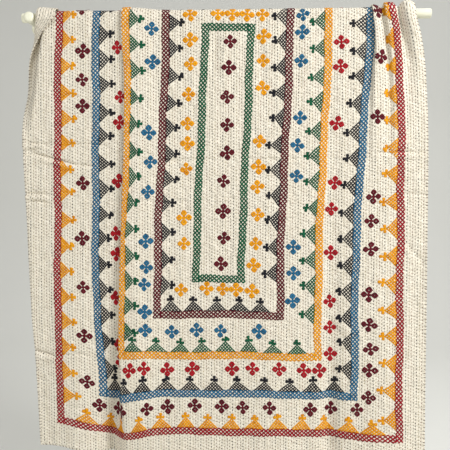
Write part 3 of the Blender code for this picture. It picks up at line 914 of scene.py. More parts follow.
@dataclass(frozen=True)
class CottonFinish:
    """Cream handloom cotton, drawn in by rows of running stitch."""

    light: tuple[int, int, int] = (243, 237, 222)
    dark: tuple[int, int, int] = (212, 199, 176)
    thread_pitch: float = 0.0009

    def material(self) -> bpy.types.Material:
        """Weave, puckers between the stitch rows with painted shade along their wrinkles and dimples, and stitches
        painted on the reverse.

        The chart is (across, down), so a row is the nearest multiple of the row pitch
        and a stitch is the middle of each stitch pitch, started by row number.
        """
        tree = FinishTree("cream_cotton_quilted")
        chart, across, down = tree.chart("cloth")
        place = tree.object_place()
        row = round(across / STITCHES.row_pitch)
        sway = STITCHES.sway_at(down, row, Socket.sine)
        beside = across - row * STITCHES.row_pitch - sway
        phase = (down / STITCHES.stitch_pitch + row * STITCHES.golden).part() - 0.5
        onward = phase * STITCHES.stitch_pitch
        channel = beside.bell(0.0022)
        dimple = channel * onward.bell(0.0036)
        hollow = tree.noise(chart, 48.0, 2.0)
        drawn = tree.node("ShaderNodeMapping", None, {"Vector": chart, "Scale": (0.42, 1.5, 1.0)})
        wrinkle = tree.noise(drawn, 90.0, 3.0)
        warp = (across * (2.0 * math.pi / self.thread_pitch)).sine()
        weft = (down * (2.0 * math.pi / self.thread_pitch)).sine()
        slub = tree.noise(place, 420.0, 1.0)
        height = (hollow * 9.0 + wrinkle * 9.0 - channel * 0.6 - dimple * 1.3
                  + warp * weft * 0.035 + slub * 0.10)
        stain = tree.noise(chart, 30.0, 3.0) * 0.60
        # Painted shade: the cloth darkens with the wrinkle relief and in the dimples round each stitch; stain and slub
        # are the cloth's own tone.
        stain_and_shade = (stain + wrinkle * 0.45 + slub * 0.3 + dimple * 0.4 - 0.36).fade(0.0, 1.0)
        colour = tree.mix(stain_and_shade, tone(*self.light), tone(*self.dark))
        reverse = tree.node("ShaderNodeAttribute", {"attribute_name": "reverse"}, None, "Fac")
        gap = (0.5 - abs(phase)) * STITCHES.stitch_pitch
        dash = (abs(beside) < 0.0011) * (gap < 0.0029) * (reverse > 0.75)
        cycle = (row / 4.0).part()
        plain = (cycle > 0.1) * 0.55
        thread = tree.mix(plain, Dye.CHARCOAL.dark_tone(), Dye.RUSSET.dark_tone())
        colour = tree.mix(dash * (1.0 - plain * 0.7), colour, thread)
        return tree.finish(colour, height, 0.9, roughness=0.92, sheen_weight=0.05,
                           sheen_roughness=0.5, specular_ior_level=0.2)


@dataclass(frozen=True)
class PaintFinish:
    """Satin ivory paint on turned wood, with brush lines along the pole."""

    name: str = "ivory_satin_paint"
    light: tuple[int, int, int] = (244, 244, 224)
    dark: tuple[int, int, int] = (226, 222, 196)

    def material(self) -> bpy.types.Material:
        """Brush lines are noise drawn out along X; a faint mottle dulls the sheen."""
        tree = FinishTree(self.name)
        drawn = tree.node("ShaderNodeMapping", None,
                          {"Vector": tree.object_place(), "Scale": (6.0, 160.0, 160.0)})
        brush = tree.noise(drawn, 3.0, 3.0)
        mottle = tree.noise(tree.object_place(), 28.0)
        shade = (brush * 0.5 + mottle * 0.6 - 0.1).fade(0.0, 1.0)
        colour = tree.mix(shade, tone(*self.light), tone(*self.dark))
        return tree.finish(colour, brush * 0.10 + mottle * 0.12, 0.5,
                           roughness=mottle * 0.16 + 0.30, specular_ior_level=0.45)


# ---------------------------------------------------------------- embroidery


@dataclass
class Strands:
    """Couched thread in one colour: low rounded strips that follow the cloth."""

    name: str
    dye: Dye
    drape: Drape
    points: list[np.ndarray] = field(default_factory=list)
    quads: list[np.ndarray] = field(default_factory=list)
    triangles: list[np.ndarray] = field(default_factory=list)
    charts: list[np.ndarray] = field(default_factory=list)
    footprint: list[np.ndarray] = field(default_factory=list)
    count: int = 0
    sunk: float = 0.0005

    def wander(self, across: np.ndarray, down: np.ndarray) -> tuple[np.ndarray, np.ndarray]:
        """Hand-drawn guide lines: the whole design leans, bows and wavers a little.

        The lean goes to the right at the top and to the left at the foot, and dies out
        towards both margins.  Bells add a bow beside each pleat and a sag at the foot.
        """
        lean = 0.018 - 0.032 * smooth_step(down / 1.05)
        left = 1.0 - smooth_step((-across - 0.20) / 0.34)
        right = 1.0 + 0.3 * smooth_step((across - 0.37) / 0.12)
        right = right * (1.0 - smooth_step((across - 0.55) / 0.09))
        aside = lean * np.where(across < 0.0, left, right)
        aside += 0.0125 * bell(across + 0.385, 0.060) * bell(down - 0.50, 0.32)
        aside += 0.019 * bell(across + 0.50, 0.09) * smooth_step((down - 1.0) / 0.42)
        aside += 0.013 * bell(across - 0.55, 0.075) * bell(down, 0.24)
        aside += 0.008 * bell(across + 0.656, 0.04) * bell(down, 0.20)
        aside += 0.0020 * np.sin(down * 17.0 + across * 9.0) + 0.0010 * np.sin(down * 47.0 - across * 23.0)
        foot = smooth_step((down - 1.28) / 0.25)
        onward = foot * (0.026 * bell(across + 0.40, 0.14) + 0.014 * smooth_step((across - 0.40) / 0.25))
        onward += 0.0024 * np.sin(across * 15.0 - down * 7.0) + 0.0012 * np.sin(across * 51.0 + down * 19.0)
        return across + aside, down + onward

    def keep(self, points: np.ndarray, chart: np.ndarray, quads: np.ndarray | None,
             triangles: np.ndarray | None) -> None:
        """Add one lot of points and faces to the piece."""
        if quads is not None:
            self.quads.append(quads + self.count)
        if triangles is not None:
            self.triangles.append(triangles + self.count)
        self.points.append(points)
        self.charts.append(chart)
        self.count += len(points)

    def lay(self, across: np.ndarray, down: np.ndarray, width: np.ndarray, height: np.ndarray,
            closed: bool = False) -> None:
        """Lay strips along routes.

        The profile has four points, at -1, -0.55, 0.55 and 1 half widths aside of the
        route: the outer two sunk in the cloth, the inner two at the full height.  It is
        carried along each route and the ends are capped.

        Args:
            across: N routes by K stations.
            down: the same for the drops.
            width: strip width at each station.
            height: crown height at each station.
            closed: True if each route's end meets its start.
        """
        across, down = self.wander(across, down)
        self.footprint.append(np.stack([across.ravel(), down.ravel()], axis=1))
        if closed:
            aside = np.roll(across, -1, axis=1) - np.roll(across, 1, axis=1)
            ahead = np.roll(down, -1, axis=1) - np.roll(down, 1, axis=1)
        else:
            aside, ahead = np.gradient(across, axis=1), np.gradient(down, axis=1)
        size = np.hypot(aside, ahead)
        offset = np.array((-1.0, -0.55, 0.55, 1.0))
        crown = np.array((0.0, 1.0, 1.0, 0.0))
        half = (np.broadcast_to(width, across.shape) / 2.0)[..., None]
        a = across[..., None] - (ahead / size)[..., None] * half * offset
        d = down[..., None] + (aside / size)[..., None] * half * offset
        tall = np.broadcast_to(height, across.shape)[..., None]
        points = self.drape.place(a, d, crown * tall - (1.0 - crown) * self.sunk)
        routes, stations = across.shape
        steps = np.hypot(np.diff(across, axis=1), np.diff(down, axis=1))
        run = np.concatenate([np.zeros((routes, 1)), np.cumsum(steps, axis=1)], axis=1)
        chart = np.stack(np.broadcast_arrays(run[..., None], offset), axis=-1)
        index = np.arange(routes * stations * 4).reshape(routes, stations, 4)
        first = index if closed else index[:, :-1]
        second = np.roll(index, -1, axis=1) if closed else index[:, 1:]
        around = np.roll(first, -1, axis=2), np.roll(second, -1, axis=2)
        quads = [np.stack([first, around[0], around[1], second], axis=-1).reshape(-1, 4)]
        if not closed:
            quads += [index[:, 0, ::-1], index[:, -1]]
        self.keep(points.reshape(-1, 3), chart.reshape(-1, 2), np.concatenate(quads), None)

    def dash(self, across: np.ndarray, down: np.ndarray, length: np.ndarray, width: np.ndarray,
             tilt: np.ndarray, height: float) -> None:
        """Small separate stitches: two points sunk in the cloth and two rings of three between.

        Args:
            across: middles of the stitches.
            down: their drops.
            length: stitch lengths.
            width: thread widths.
            tilt: turn of each stitch from straight down, in radians.
            height: crown height.
        """
        ahead, aside = np.cos(tilt), np.sin(tilt)
        run = np.array((-0.5, -0.24, -0.24, -0.24, 0.24, 0.24, 0.24, 0.5))
        beside = np.array((0.0, -0.5, 0.0, 0.5, -0.5, 0.0, 0.5, 0.0))
        lift = np.array((-0.6, -0.35, 1.0, -0.35, -0.35, 1.0, -0.35, -0.6)) * height
        along_it, off_it = length[:, None] * run, width[:, None] * beside
        a = across[:, None] + along_it * aside[:, None] + off_it * ahead[:, None]
        d = down[:, None] + along_it * ahead[:, None] - off_it * aside[:, None]
        points = self.drape.place(a, d, np.broadcast_to(lift, a.shape))
        chart = np.stack([along_it, np.broadcast_to(beside * 2.0, a.shape)], axis=-1)
        start = (np.arange(len(across)) * 8)[:, None, None]
        caps = np.array(((0, 1, 2), (0, 2, 3), (0, 3, 1), (7, 5, 4), (7, 6, 5), (7, 4, 6)))
        walls = np.array(((1, 4, 5, 2), (2, 5, 6, 3), (3, 6, 4, 1)))
        self.keep(points.reshape(-1, 3), chart.reshape(-1, 2),
                  (walls[None] + start).reshape(-1, 4), (caps[None] + start).reshape(-1, 3))

    def build(self) -> bpy.types.Object:
        """Make the piece and hang it on the body."""
        faces = [np.concatenate(group) for group in (self.quads, self.triangles) if group]
        piece = make_piece(self.name, np.concatenate(self.points), faces, "strand",
                           np.concatenate(self.charts), self.dye.material())
        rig.ride(piece, BODY)
        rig.slot(piece, CLOTH_SLOT)
        return piece


class Side(Enum):
    """The sides of a ring, each with its inward direction as (across, down)."""

    LEFT = (1.0, 0.0)
    RIGHT = (-1.0, 0.0)
    FOOT = (0.0, -1.0)
    HEAD = (0.0, 1.0)


@dataclass(frozen=True)
class Ring:
    """A rectangle that the design is set round: its half width, head and foot."""

    half_width: float
    head: float
    foot: float

    def spot(self, side: Side, run: np.ndarray, inward: np.ndarray) -> tuple[np.ndarray, np.ndarray]:
        """Place on the cloth of a point "run" along a side and "inward" from its centre line."""
        across, down = side.value
        if side in (Side.LEFT, Side.RIGHT):
            return -across * self.half_width + across * inward, run + 0.0 * inward
        edge = self.foot if side is Side.FOOT else self.head
        return run + 0.0 * inward, edge + down * inward

    def reach(self, side: Side) -> tuple[float, float]:
        """The two corners of a side, as lengths along it."""
        if side in (Side.LEFT, Side.RIGHT):
            return self.head, self.foot
        return -self.half_width, self.half_width


@dataclass
class LatticeBand:
    """A band of crossing diagonal threads, four half cells wide, round one ring."""

    name: str
    dye: Dye
    ring: Ring
    cell_along: float = 0.0077
    cell_across: float = 0.0069
    thread: float = 0.0064
    crown: float = 0.0012
    cells: int = 4

    def build(self, drape: Drape, random: np.random.Generator) -> Strands:
        """Every second cell starts one thread each way, from edge to edge of the band.

        A thread runs straight across four cells; its height rises and falls from one
        crossing to the next, so the two directions pass over and under.

        Args:
            drape: the hanging cloth.
            random: the seeded source of the unevenness.

        Returns:
            The band's strands.
        """
        strands = Strands(self.name, self.dye, drape)
        half_band = self.cell_across * self.cells / 2.0
        for side in Side:
            low, high = self.ring.reach(side)
            ends = half_band if side in (Side.LEFT, Side.RIGHT) else -half_band * 0.8
            low, high = low - ends, high + ends
            starts = np.arange(low - self.cell_along * (self.cells - 2), high, 2.0 * self.cell_along)
            for sense in (1.0, -1.0):
                begin = starts[:, None] + random.normal(0.0, 0.00035, (len(starts), 1))
                first = np.clip((low - begin) / self.cell_along, 0.0, self.cells)
                last = np.clip((high - begin) / self.cell_along, 0.0, self.cells)
                long_enough = (last - first)[:, 0] > 0.6
                begin, first, last = begin[long_enough], first[long_enough], last[long_enough]
                station = first + (last - first) * np.linspace(0.0, 1.0, 2 * self.cells + 1)
                run = begin + station * self.cell_along
                inward = sense * (station - self.cells / 2.0) * self.cell_across
                inward = inward + random.normal(0.0, 0.00025, run.shape)
                across, down = self.ring.spot(side, run, inward)
                over = np.cos(math.pi * station) * sense
                width = self.thread * (1.0 + 0.10 * np.cos(2 * math.pi * station))
                width = width * random.uniform(0.88, 1.12, (len(begin), 1))
                height = self.crown * (1.0 + 0.35 * over)
                strands.lay(across, down, width, height)
        return strands


@dataclass
class PeakRows:
    """Rows of hatched triangles that stand on a ring's inner edge, each with a finial."""

    name: str
    dye: Dye
    ring: Ring
    left_first: float
    left_pitch: float
    right_first: float
    right_pitch: float
    foot_first: float
    foot_pitch: float
    base: float = 0.070
    height: float = 0.036
    inset: float = 0.0125
    lines: int = 6
    thread: float = 0.0052
    crown: float = 0.0010
    corner_room: float = 0.070
    foot_room: float = 0.045

    def positions(self, side: Side, random: np.random.Generator) -> np.ndarray:
        """Middles of a side's triangles: even steps both ways from the first, then jittered."""
        low, high = self.ring.reach(side)
        first, pitch = {Side.LEFT: (self.left_first, self.left_pitch),
                        Side.RIGHT: (self.right_first, self.right_pitch)}.get(
                            side, (self.foot_first, self.foot_pitch))
        room = self.corner_room if side in (Side.LEFT, Side.RIGHT) else self.foot_room
        before = np.arange(first, low + room, -pitch)[:0:-1]
        after = np.arange(first, high - room, pitch)
        middles = np.concatenate([before, after])
        return middles + random.normal(0.0, 0.0028, len(middles))

    def build(self, drape: Drape, random: np.random.Generator) -> Strands:
        """Hatching: lines parallel to each slope, from even steps along the base.

        A line that starts a share k of the base from one foot ends on the far slope at
        the height share 1 - k.  The finial is three flared arms about a point just
        above the tip.

        Args:
            drape: the hanging cloth.
            random: the seeded source of the unevenness.

        Returns:
            The strands of every triangle of the ring.
        """
        strands = Strands(self.name, self.dye, drape)
        share = np.arange(self.lines)[:, None] / self.lines
        station = np.linspace(0.0, 1.0, 5)[None, :]
        arm = np.array((0.0, 0.35, 0.75, 1.0))
        for side in Side:
            for middle in self.positions(side, random):
                base = self.base * random.uniform(0.88, 1.10)
                tall = self.height * random.uniform(0.90, 1.12)
                lean = random.normal(0.0, 0.0022)
                for sense in (-1.0, 1.0):
                    up = (1.0 - share) * station
                    run = sense * (-base / 2.0 + base * share + base / 2.0 * up)
                    run = middle + run + lean * up + random.normal(0.0, 0.0003, run.shape)
                    across, down = self.ring.spot(side, run, self.inset + tall * up)
                    strands.lay(across, down, self.thread * random.uniform(0.9, 1.12),
                                self.crown * (1.0 + 0.25 * sense))
                heart = self.inset + tall + 0.0055
                for turn in (-90.0, 0.0, 90.0):
                    angle = math.radians(turn + random.normal(0.0, 9.0))
                    length = random.uniform(0.0130, 0.0165)
                    run = (middle + lean + math.sin(angle) * length * arm)[None, :]
                    inward = (heart + math.cos(angle) * length * arm)[None, :]
                    across, down = self.ring.spot(side, run, inward)
                    width = np.array((0.0095, 0.0105, 0.0155, 0.0100)) * random.uniform(0.9, 1.1)
                    strands.lay(across, down, width, self.crown * 1.2)
                run = np.array([[middle + lean, middle + lean]])
                across, down = self.ring.spot(side, run, np.array([[heart - 0.0085, heart + 0.002]]))
                strands.lay(across, down, 0.0085, self.crown)
        return strands


@dataclass
class FlowerRuns:
    """Four-petalled flowers in the lane inside a ring's triangles.

    A chart gives the steps from one flower to the next in flower pitches; behind the
    pole the same lane goes on with an even step.
    """

    name: str
    dye: Dye
    ring: Ring
    left_first: float
    left_steps: tuple[float, ...]
    right_first: float
    right_steps: tuple[float, ...]
    foot_first: float
    foot_steps: tuple[float, ...]
    lane: float = 0.094
    pitch: float = 0.0975
    back_step: float = 0.165
    corner_room: float = 0.10
    petal_reach: float = 0.0164
    petal_ring: float = 0.0070
    petal_thread: float = 0.0118
    crown: float = 0.0012
    left_lane: float = 0.0
    left_narrowing: float = 1.0

    def positions(self, side: Side) -> np.ndarray:
        """Middles of a side's flowers, from the chart and on over the pole."""
        first, steps = {Side.LEFT: (self.left_first, self.left_steps),
                        Side.RIGHT: (self.right_first, self.right_steps)}.get(
                            side, (self.foot_first, self.foot_steps))
        front = first + self.pitch * np.concatenate(([0.0], np.cumsum(steps)))
        if side in (Side.LEFT, Side.RIGHT):
            top = self.ring.head + self.corner_room
            return np.concatenate([np.arange(first - self.back_step, top, -self.back_step), front])
        return front

    def flower(self, strands: Strands, middle: tuple[float, float], random: np.random.Generator,
               narrowing: float = 1.0) -> None:
        """One flower: four rounded diamond loops about a cross of two short bars.

        Args:
            strands: the piece that takes it.
            middle: its place on the cloth.
            random: the seeded source of the unevenness.
            narrowing: width of the flower over its height.
        """
        size = random.uniform(0.90, 1.08)
        twist = random.normal(0.0, 0.09)
        corner = np.arange(8) * math.pi / 4.0
        loop = self.petal_ring * np.where(np.arange(8) % 2 == 0, 1.0, 0.74)
        for quarter in range(4):
            angle = quarter * math.pi / 2.0 + twist + random.normal(0.0, 0.05)
            reach = self.petal_reach * size * random.uniform(0.95, 1.05)
            grown = size * random.uniform(0.88, 1.10)
            across = middle[0] + narrowing * (math.cos(angle) * reach + np.cos(corner + angle) * loop * grown)
            down = middle[1] + math.sin(angle) * reach + np.sin(corner + angle) * loop * grown
            strands.lay(across[None], down[None], self.petal_thread * size, self.crown, closed=True)
        bar = np.linspace(-1.0, 1.0, 5) * self.petal_reach * 0.62 * size
        width = np.array((0.0080, 0.0085, 0.0125, 0.0085, 0.0080)) * size
        for angle in (twist, twist + math.pi / 2.0):
            across, down = middle[0] + narrowing * math.cos(angle) * bar, middle[1] + math.sin(angle) * bar
            strands.lay(across[None], down[None], width, self.crown * 0.85)

    def build(self, drape: Drape, random: np.random.Generator) -> Strands:
        """Lay every flower of the ring's lane."""
        strands = Strands(self.name, self.dye, drape)
        for side in Side:
            for run in self.positions(side):
                run = run + random.normal(0.0, 0.003)
                on_left = side is Side.LEFT
                inward = (self.left_lane if on_left and self.left_lane else self.lane)
                inward = inward + random.normal(0.0, 0.002)
                across, down = self.ring.spot(side, np.array(run), np.array(inward))
                self.flower(strands, (float(across), float(down)), random,
                            self.left_narrowing if on_left else 1.0)
        return strands


@dataclass
class MiddleFlowers(FlowerRuns):
    """The single file of flowers down the quilt's middle line."""

    def build(self, drape: Drape, random: np.random.Generator) -> Strands:
        """Lay the file from the chart of its left side, on the middle line."""
        strands = Strands(self.name, self.dye, drape)
        for run in self.left_first + self.pitch * np.concatenate(([0.0], np.cumsum(self.left_steps))):
            middle = (0.010 + random.normal(0.0, 0.003), run + random.normal(0.0, 0.003))
            self.flower(strands, middle, random)
        return strands


RED_RING = Ring(0.656, -0.491, 1.593)
BLUE_RING = Ring(0.511, -0.347, 1.449)
YELLOW_RING = Ring(0.371, -0.203, 1.305)
MAROON_RING = Ring(0.230, -0.060, 1.151)
GREEN_RING = Ring(0.085, 0.083, 1.017)


@dataclass
class Embroidery:
    """Every motif of the design, from the outer band inwards."""

    drape: Drape
    random: np.random.Generator

    def motifs(self) -> list[Any]:
        """The bands, triangles and flowers, each with its own chart."""
        return [
            LatticeBand("red_lattice_band", Dye.CRIMSON, RED_RING),
            PeakRows("yellow_triangles", Dye.OCHRE, RED_RING, 0.121, 0.0979, 0.032, 0.0993,
                     -0.566, 0.0880, base=0.070, thread=0.0064),
            FlowerRuns("maroon_flowers", Dye.MAROON, RED_RING, 0.166, (1.1, 1, 3, 2.2, 1.9, 1.9, 1.8),
                       0.194, (2.3, 3, 0.9, 1, 1.8, 1.1, 1, 0.8, 1),
                       -0.524, (0.8, 0.7, 1.1, 0.9, 1, 1, 0.8, 1, 1.6, 0.9, 1)),
            LatticeBand("blue_lattice_band", Dye.BLUE, BLUE_RING),
            PeakRows("black_triangles", Dye.BLACK, BLUE_RING, 0.104, 0.0962, 0.077, 0.0982,
                     -0.466, 0.0905, base=0.076),
            FlowerRuns("red_flowers", Dye.SCARLET, BLUE_RING, 0.152, (1.9, 1, 2.2, 2, 0.8, 1.8, 1.8, 0.6),
                       0.145, (0.9, 2.1, 2.2, 1, 1.8, 1.8, 1, 1),
                       -0.344, (0.6, 0.9, 1, 1.5, 0.9, 0.9, 1, 0.6),
                       left_lane=0.080, left_narrowing=0.74),
            LatticeBand("yellow_lattice_band", Dye.OCHRE, YELLOW_RING),
            PeakRows("green_triangles", Dye.GREEN, YELLOW_RING, 0.050, 0.0975, 0.065, 0.0980,
                     -0.325, 0.0886, base=0.074),
            FlowerRuns("blue_flowers", Dye.BLUE, YELLOW_RING,
                       0.087, (1.2, 2.8, 1.1, 1.1, 1.9, 1, 0.7, 1),
                       0.039, (0.7, 1.1, 2, 1.1, 1.2, 2.7, 1, 1),
                       -0.279, (1, 1, 0.9, 1.5)),
            LatticeBand("maroon_lattice_band", Dye.MAROON, MAROON_RING),
            PeakRows("dark_inner_triangles", Dye.BLACK, MAROON_RING, 0.062, 0.0975, 0.038, 0.0953,
                     -0.175, 0.0830, base=0.072),
            FlowerRuns("yellow_flowers", Dye.OCHRE, MAROON_RING,
                       0.129, (0.9, 1.1, 1.1, 0.8, 1, 1.9, 1),
                       0.201, (1.1, 2, 1, 0.8, 1, 1.1, 0.8),
                       -0.139, (1, 0.6, 0.5, 0.6), back_step=0.09),
            LatticeBand("green_lattice_band", Dye.GREEN, GREEN_RING),
            MiddleFlowers("middle_flowers", Dye.MAROON, GREEN_RING, 0.130, (1.07,) * 8,
                          0.0, (), 0.0, ()),
        ]

    def build(self) -> tuple[list[bpy.types.Object], np.ndarray]:
        """Build every motif.

        Returns:
            The pieces, and the (across, down) places that their threads cover.
        """
        pieces, covered = [], []
        for motif in self.motifs():
            strands = motif.build(self.drape, self.random)
            pieces.append(strands.build())
            covered += strands.footprint
        return pieces, np.concatenate(covered)


@dataclass
class RunningStitch:
    """Rows of small stitches that hold the layers together, left out under the motifs."""

    drape: Drape
    random: np.random.Generator
    covered: np.ndarray
    cell: float = 0.004
    hem_room: float = 0.007

    ROWS = (
        ("charcoal_running_stitch", Dye.CHARCOAL, 0.0076, 0.0037),
        ("olive_running_stitch", Dye.OLIVE, 0.0060, 0.0024),
        ("russet_running_stitch", Dye.RUSSET, 0.0064, 0.0028),
        ("umber_running_stitch", Dye.UMBER, 0.0062, 0.0026),
    )

    def is_free(self, across: np.ndarray, down: np.ndarray) -> np.ndarray:
        """True where no motif's thread lies within about a cell."""
        low = np.array((-0.90, -0.62))
        shape = np.ceil((np.array((0.80, 1.75)) - low) / self.cell).astype(int) + 2
        taken = np.zeros(shape, dtype=bool)
        spots = ((self.covered - low) / self.cell).astype(int)
        for aside in (-1, 0, 1):
            for onward in (-1, 0, 1):
                taken[spots[:, 0] + aside, spots[:, 1] + onward] = True
        place = ((np.stack([across, down], axis=-1) - low) / self.cell).astype(int)
        return ~taken[place[..., 0], place[..., 1]]

    def build(self) -> list[bpy.types.Object]:
        """One piece for each thread colour; the colours take turns row by row."""
        plan, pieces = STITCHES, []
        widest = self.drape.left_width + 0.01
        rows = np.arange(-int(widest / plan.row_pitch), int(self.drape.right_width / plan.row_pitch) + 1)
        steps = np.arange(math.floor(-self.drape.back_drop / plan.stitch_pitch) - 1,
                          math.ceil(self.drape.front_drop / plan.stitch_pitch) + 1)
        for turn, (name, dye, length, width) in enumerate(self.ROWS):
            mine = rows[rows % 4 == turn][:, None]
            down = (steps[None, :] + 0.5 - (mine * plan.golden) % 1.0) * plan.stitch_pitch
            across = mine * plan.row_pitch + plan.sway_at(down, mine, np.sin)
            across = across + self.random.normal(0.0, 0.0003, across.shape)
            down = down + self.random.normal(0.0, 0.0006, down.shape)
            inside = ((across < self.drape.right_width - self.hem_room)
                      & (across > self.hem_room - self.drape.hem("left", down))
                      & (down > self.hem_room - self.drape.back_drop)
                      & (down < self.drape.front_drop - self.hem_room))
            across, down = across[inside], down[inside]
            free = self.is_free(across, down) & (self.random.random(len(across)) > 0.02)
            across, down = across[free], down[free]
            strands = Strands(name, dye, self.drape)
            many = len(across)
            strands.dash(across, down, length * self.random.uniform(0.8, 1.15, many),
                         width * self.random.uniform(0.85, 1.15, many),
                         self.random.normal(0.0, 0.09, many), 0.0007)
            pieces.append(strands.build())
        return pieces


@dataclass
class HemStitch:
    """Slanted stitches whipped over all four hems."""

    drape: Drape
    random: np.random.Generator
    pitch: float = 0.0135
    slant: float = 0.0045
    bite: float = 0.0085
    thread: float = 0.0019

    def build(self) -> bpy.types.Object:
        """Each stitch rises from the face, goes round the edge and dives into the reverse.

        Its route is given by the distance inside the hem, the run along it and the lift:
        the lift falls from above the face, through the edge, to below the reverse.
        """
        strands = Strands("hem_whip_stitch", Dye.UMBER, self.drape)
        inside = np.array((1.0, 0.55, 0.12, -0.06, 0.12, 0.6)) * self.bite
        onward = np.array((-0.5, -0.2, 0.0, 0.1, 0.2, 0.45)) * self.slant
        side = np.array((1.0, 1.0, 1.0, 0.0, -1.0, -1.0))
        rise = np.array((-0.0004, 0.0009, 0.0008, 0.0, 0.0008, -0.0004))
        hems = []
        drops = np.arange(0.010 - self.drape.back_drop, self.drape.front_drop - 0.008, self.pitch)
        for edge in ("left", "right"):
            hems.append((edge, drops))
        for edge in ("back", "front"):
            drop = np.array(-self.drape.back_drop if edge == "back" else self.drape.front_drop)
            width = float(self.drape.hem("left", drop))
            hems.append((edge, np.arange(0.010 - width, self.drape.right_width - 0.008, self.pitch)))
        for edge, marks in hems:
            marks = marks + self.random.normal(0.0, 0.0011, len(marks))
            run = marks[:, None] + onward
            reach = inside[None, :] * self.random.uniform(0.85, 1.15, (len(marks), 1))
            if edge in ("left", "right"):
                hem = self.drape.hem(edge, run)
                across, down = (reach - hem, run) if edge == "left" else (hem - reach, run)
            else:
                start = -self.drape.back_drop if edge == "back" else self.drape.front_drop
                across, down = run, start + (reach if edge == "back" else -reach)
            self.tube(strands, across, down, side, rise)
        return strands.build()

    def tube(self, strands: Strands, across: np.ndarray, down: np.ndarray, side: np.ndarray,
             rise: np.ndarray) -> None:
        """Four-sided tubes about routes that cross from the face to the reverse.

        Each ring is a square turned on its corner, square to the route's direction.

        Args:
            strands: the piece that takes them.
            across: N routes by K stations.
            down: the same for the drops.
            side: 1 on the face, 0 on the edge and -1 on the reverse, for each station.
            rise: height above the cloth for each station.
        """
        on_face = self.drape.place(across, down, rise[None, :] + 0.0 * across)
        on_back = self.drape.place(across, down, rise[None, :] + 0.0 * across, side=-1.0)
        share = ((side + 1.0) / 2.0)[None, :, None]
        route = on_face * share + on_back * (1.0 - share)
        ahead = np.gradient(route, axis=1)
        ahead /= np.linalg.norm(ahead, axis=-1, keepdims=True)
        level_hem = np.ptp(down[:, 0]) < MM or np.abs(np.gradient(down, axis=1)).mean() > MM
        step = (MM, 0.0) if level_hem else (0.0, MM)
        flush = 0.0 * across
        along_hem = (self.drape.place(across + step[0], down + step[1], flush)
                     - self.drape.place(across - step[0], down - step[1], flush))
        beside = np.cross(ahead, np.cross(along_hem, ahead))
        beside /= np.linalg.norm(beside, axis=-1, keepdims=True)
        above = np.cross(ahead, beside)
        thick = self.thread / 2.0 * np.array((0.5, 1.0, 1.0, 1.0, 1.0, 0.5))[None, :, None]
        rings = [route + beside * thick, route + above * thick * 0.8,
                 route - beside * thick, route - above * thick * 0.8]
        points = np.stack(rings, axis=2)
        routes, stations = across.shape
        index = np.arange(routes * stations * 4).reshape(routes, stations, 4)
        first, second = index[:, :-1], index[:, 1:]
        walls = np.stack([first, np.roll(first, -1, axis=2), np.roll(second, -1, axis=2), second], axis=-1)
        caps = [index[:, 0, ::-1], index[:, -1]]
        offset = np.array((-1.0, 0.0, 1.0, 0.0))
        run = np.linspace(0.0, 2.0 * self.bite, stations)[None, :, None]
        chart = np.stack(np.broadcast_arrays(run + np.zeros((routes, 1, 1)), offset), axis=-1)
        strands.keep(points.reshape(-1, 3), chart.reshape(-1, 2),
                     np.concatenate([walls.reshape(-1, 4)] + caps), None)


# ---------------------------------------------------------------- the cloth itself


@dataclass
class QuiltCloth:
    """The quilt's cotton sheet, closed all round, with its hems rounded off."""

    drape: Drape
    flat_size: tuple[float, float] = (1.53, 2.29)

    def build(self) -> bpy.types.Object:
        """Face and reverse grids half a thickness either side of the middle surface.

        They share the hem's points, where the half thickness is nothing.
        """
        drape = self.drape
        offset = drape.normal * drape.half[..., None]
        rows, columns = drape.middle.shape[:2]
        face = np.arange(rows * columns).reshape(rows, columns)
        reverse = face.copy()
        inner = (rows - 2) * (columns - 2)
        reverse[1:-1, 1:-1] = rows * columns + np.arange(inner).reshape(rows - 2, columns - 2)
        points = np.concatenate([(drape.middle + offset).reshape(-1, 3),
                                 (drape.middle - offset)[1:-1, 1:-1].reshape(-1, 3)])
        lengths = np.stack(np.broadcast_arrays(drape.across_grid(), drape.rows[:, None]), axis=-1)
        chart = np.concatenate([lengths.reshape(-1, 2), lengths[1:-1, 1:-1].reshape(-1, 2)])
        faces = []
        for grid in (face, reverse[:, ::-1]):
            faces.append(np.stack([grid[:-1, :-1], grid[1:, :-1], grid[1:, 1:], grid[:-1, 1:]],
                                  axis=-1).reshape(-1, 4))
        cloth = make_piece("quilt_cloth", points, faces, "cloth", chart, CottonFinish().material())
        side = np.zeros(len(points), dtype=np.float32)
        side[rows * columns:] = 1.0
        cloth.data.attributes.new("reverse", "FLOAT", "POINT").data.foreach_set("value", side)
        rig.ride(cloth, BODY)
        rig.slot(cloth, CLOTH_SLOT)
        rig.replaces(cloth, "quilt")
        return cloth

    def declare(self, cloth: bpy.types.Object, sewn: list[bpy.types.Object]) -> None:
        """Tell the frame that this is a sheet draped over the pole, with what is sewn on."""
        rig.sheet(cloth, flat=self.flat_size, held="draped", rests_on=["pole"], with_pieces=sewn)


# ---------------------------------------------------------------- pole, room and camera


@dataclass
class WallPole:
    """The turned pole, its bracket arms and their wall plates."""

    nodes: tuple[str, ...] = ("pole", "left_arm", "right_arm", "left_rose", "right_rose")

    def dress(self) -> None:
        """Paint every node."""
        paint = PaintFinish().material()
        for name in self.nodes:
            node = frame["nodes"][name]
            node.data.materials.clear()
            node.data.materials.append(paint)
            LOG.info("%s: painted", name)


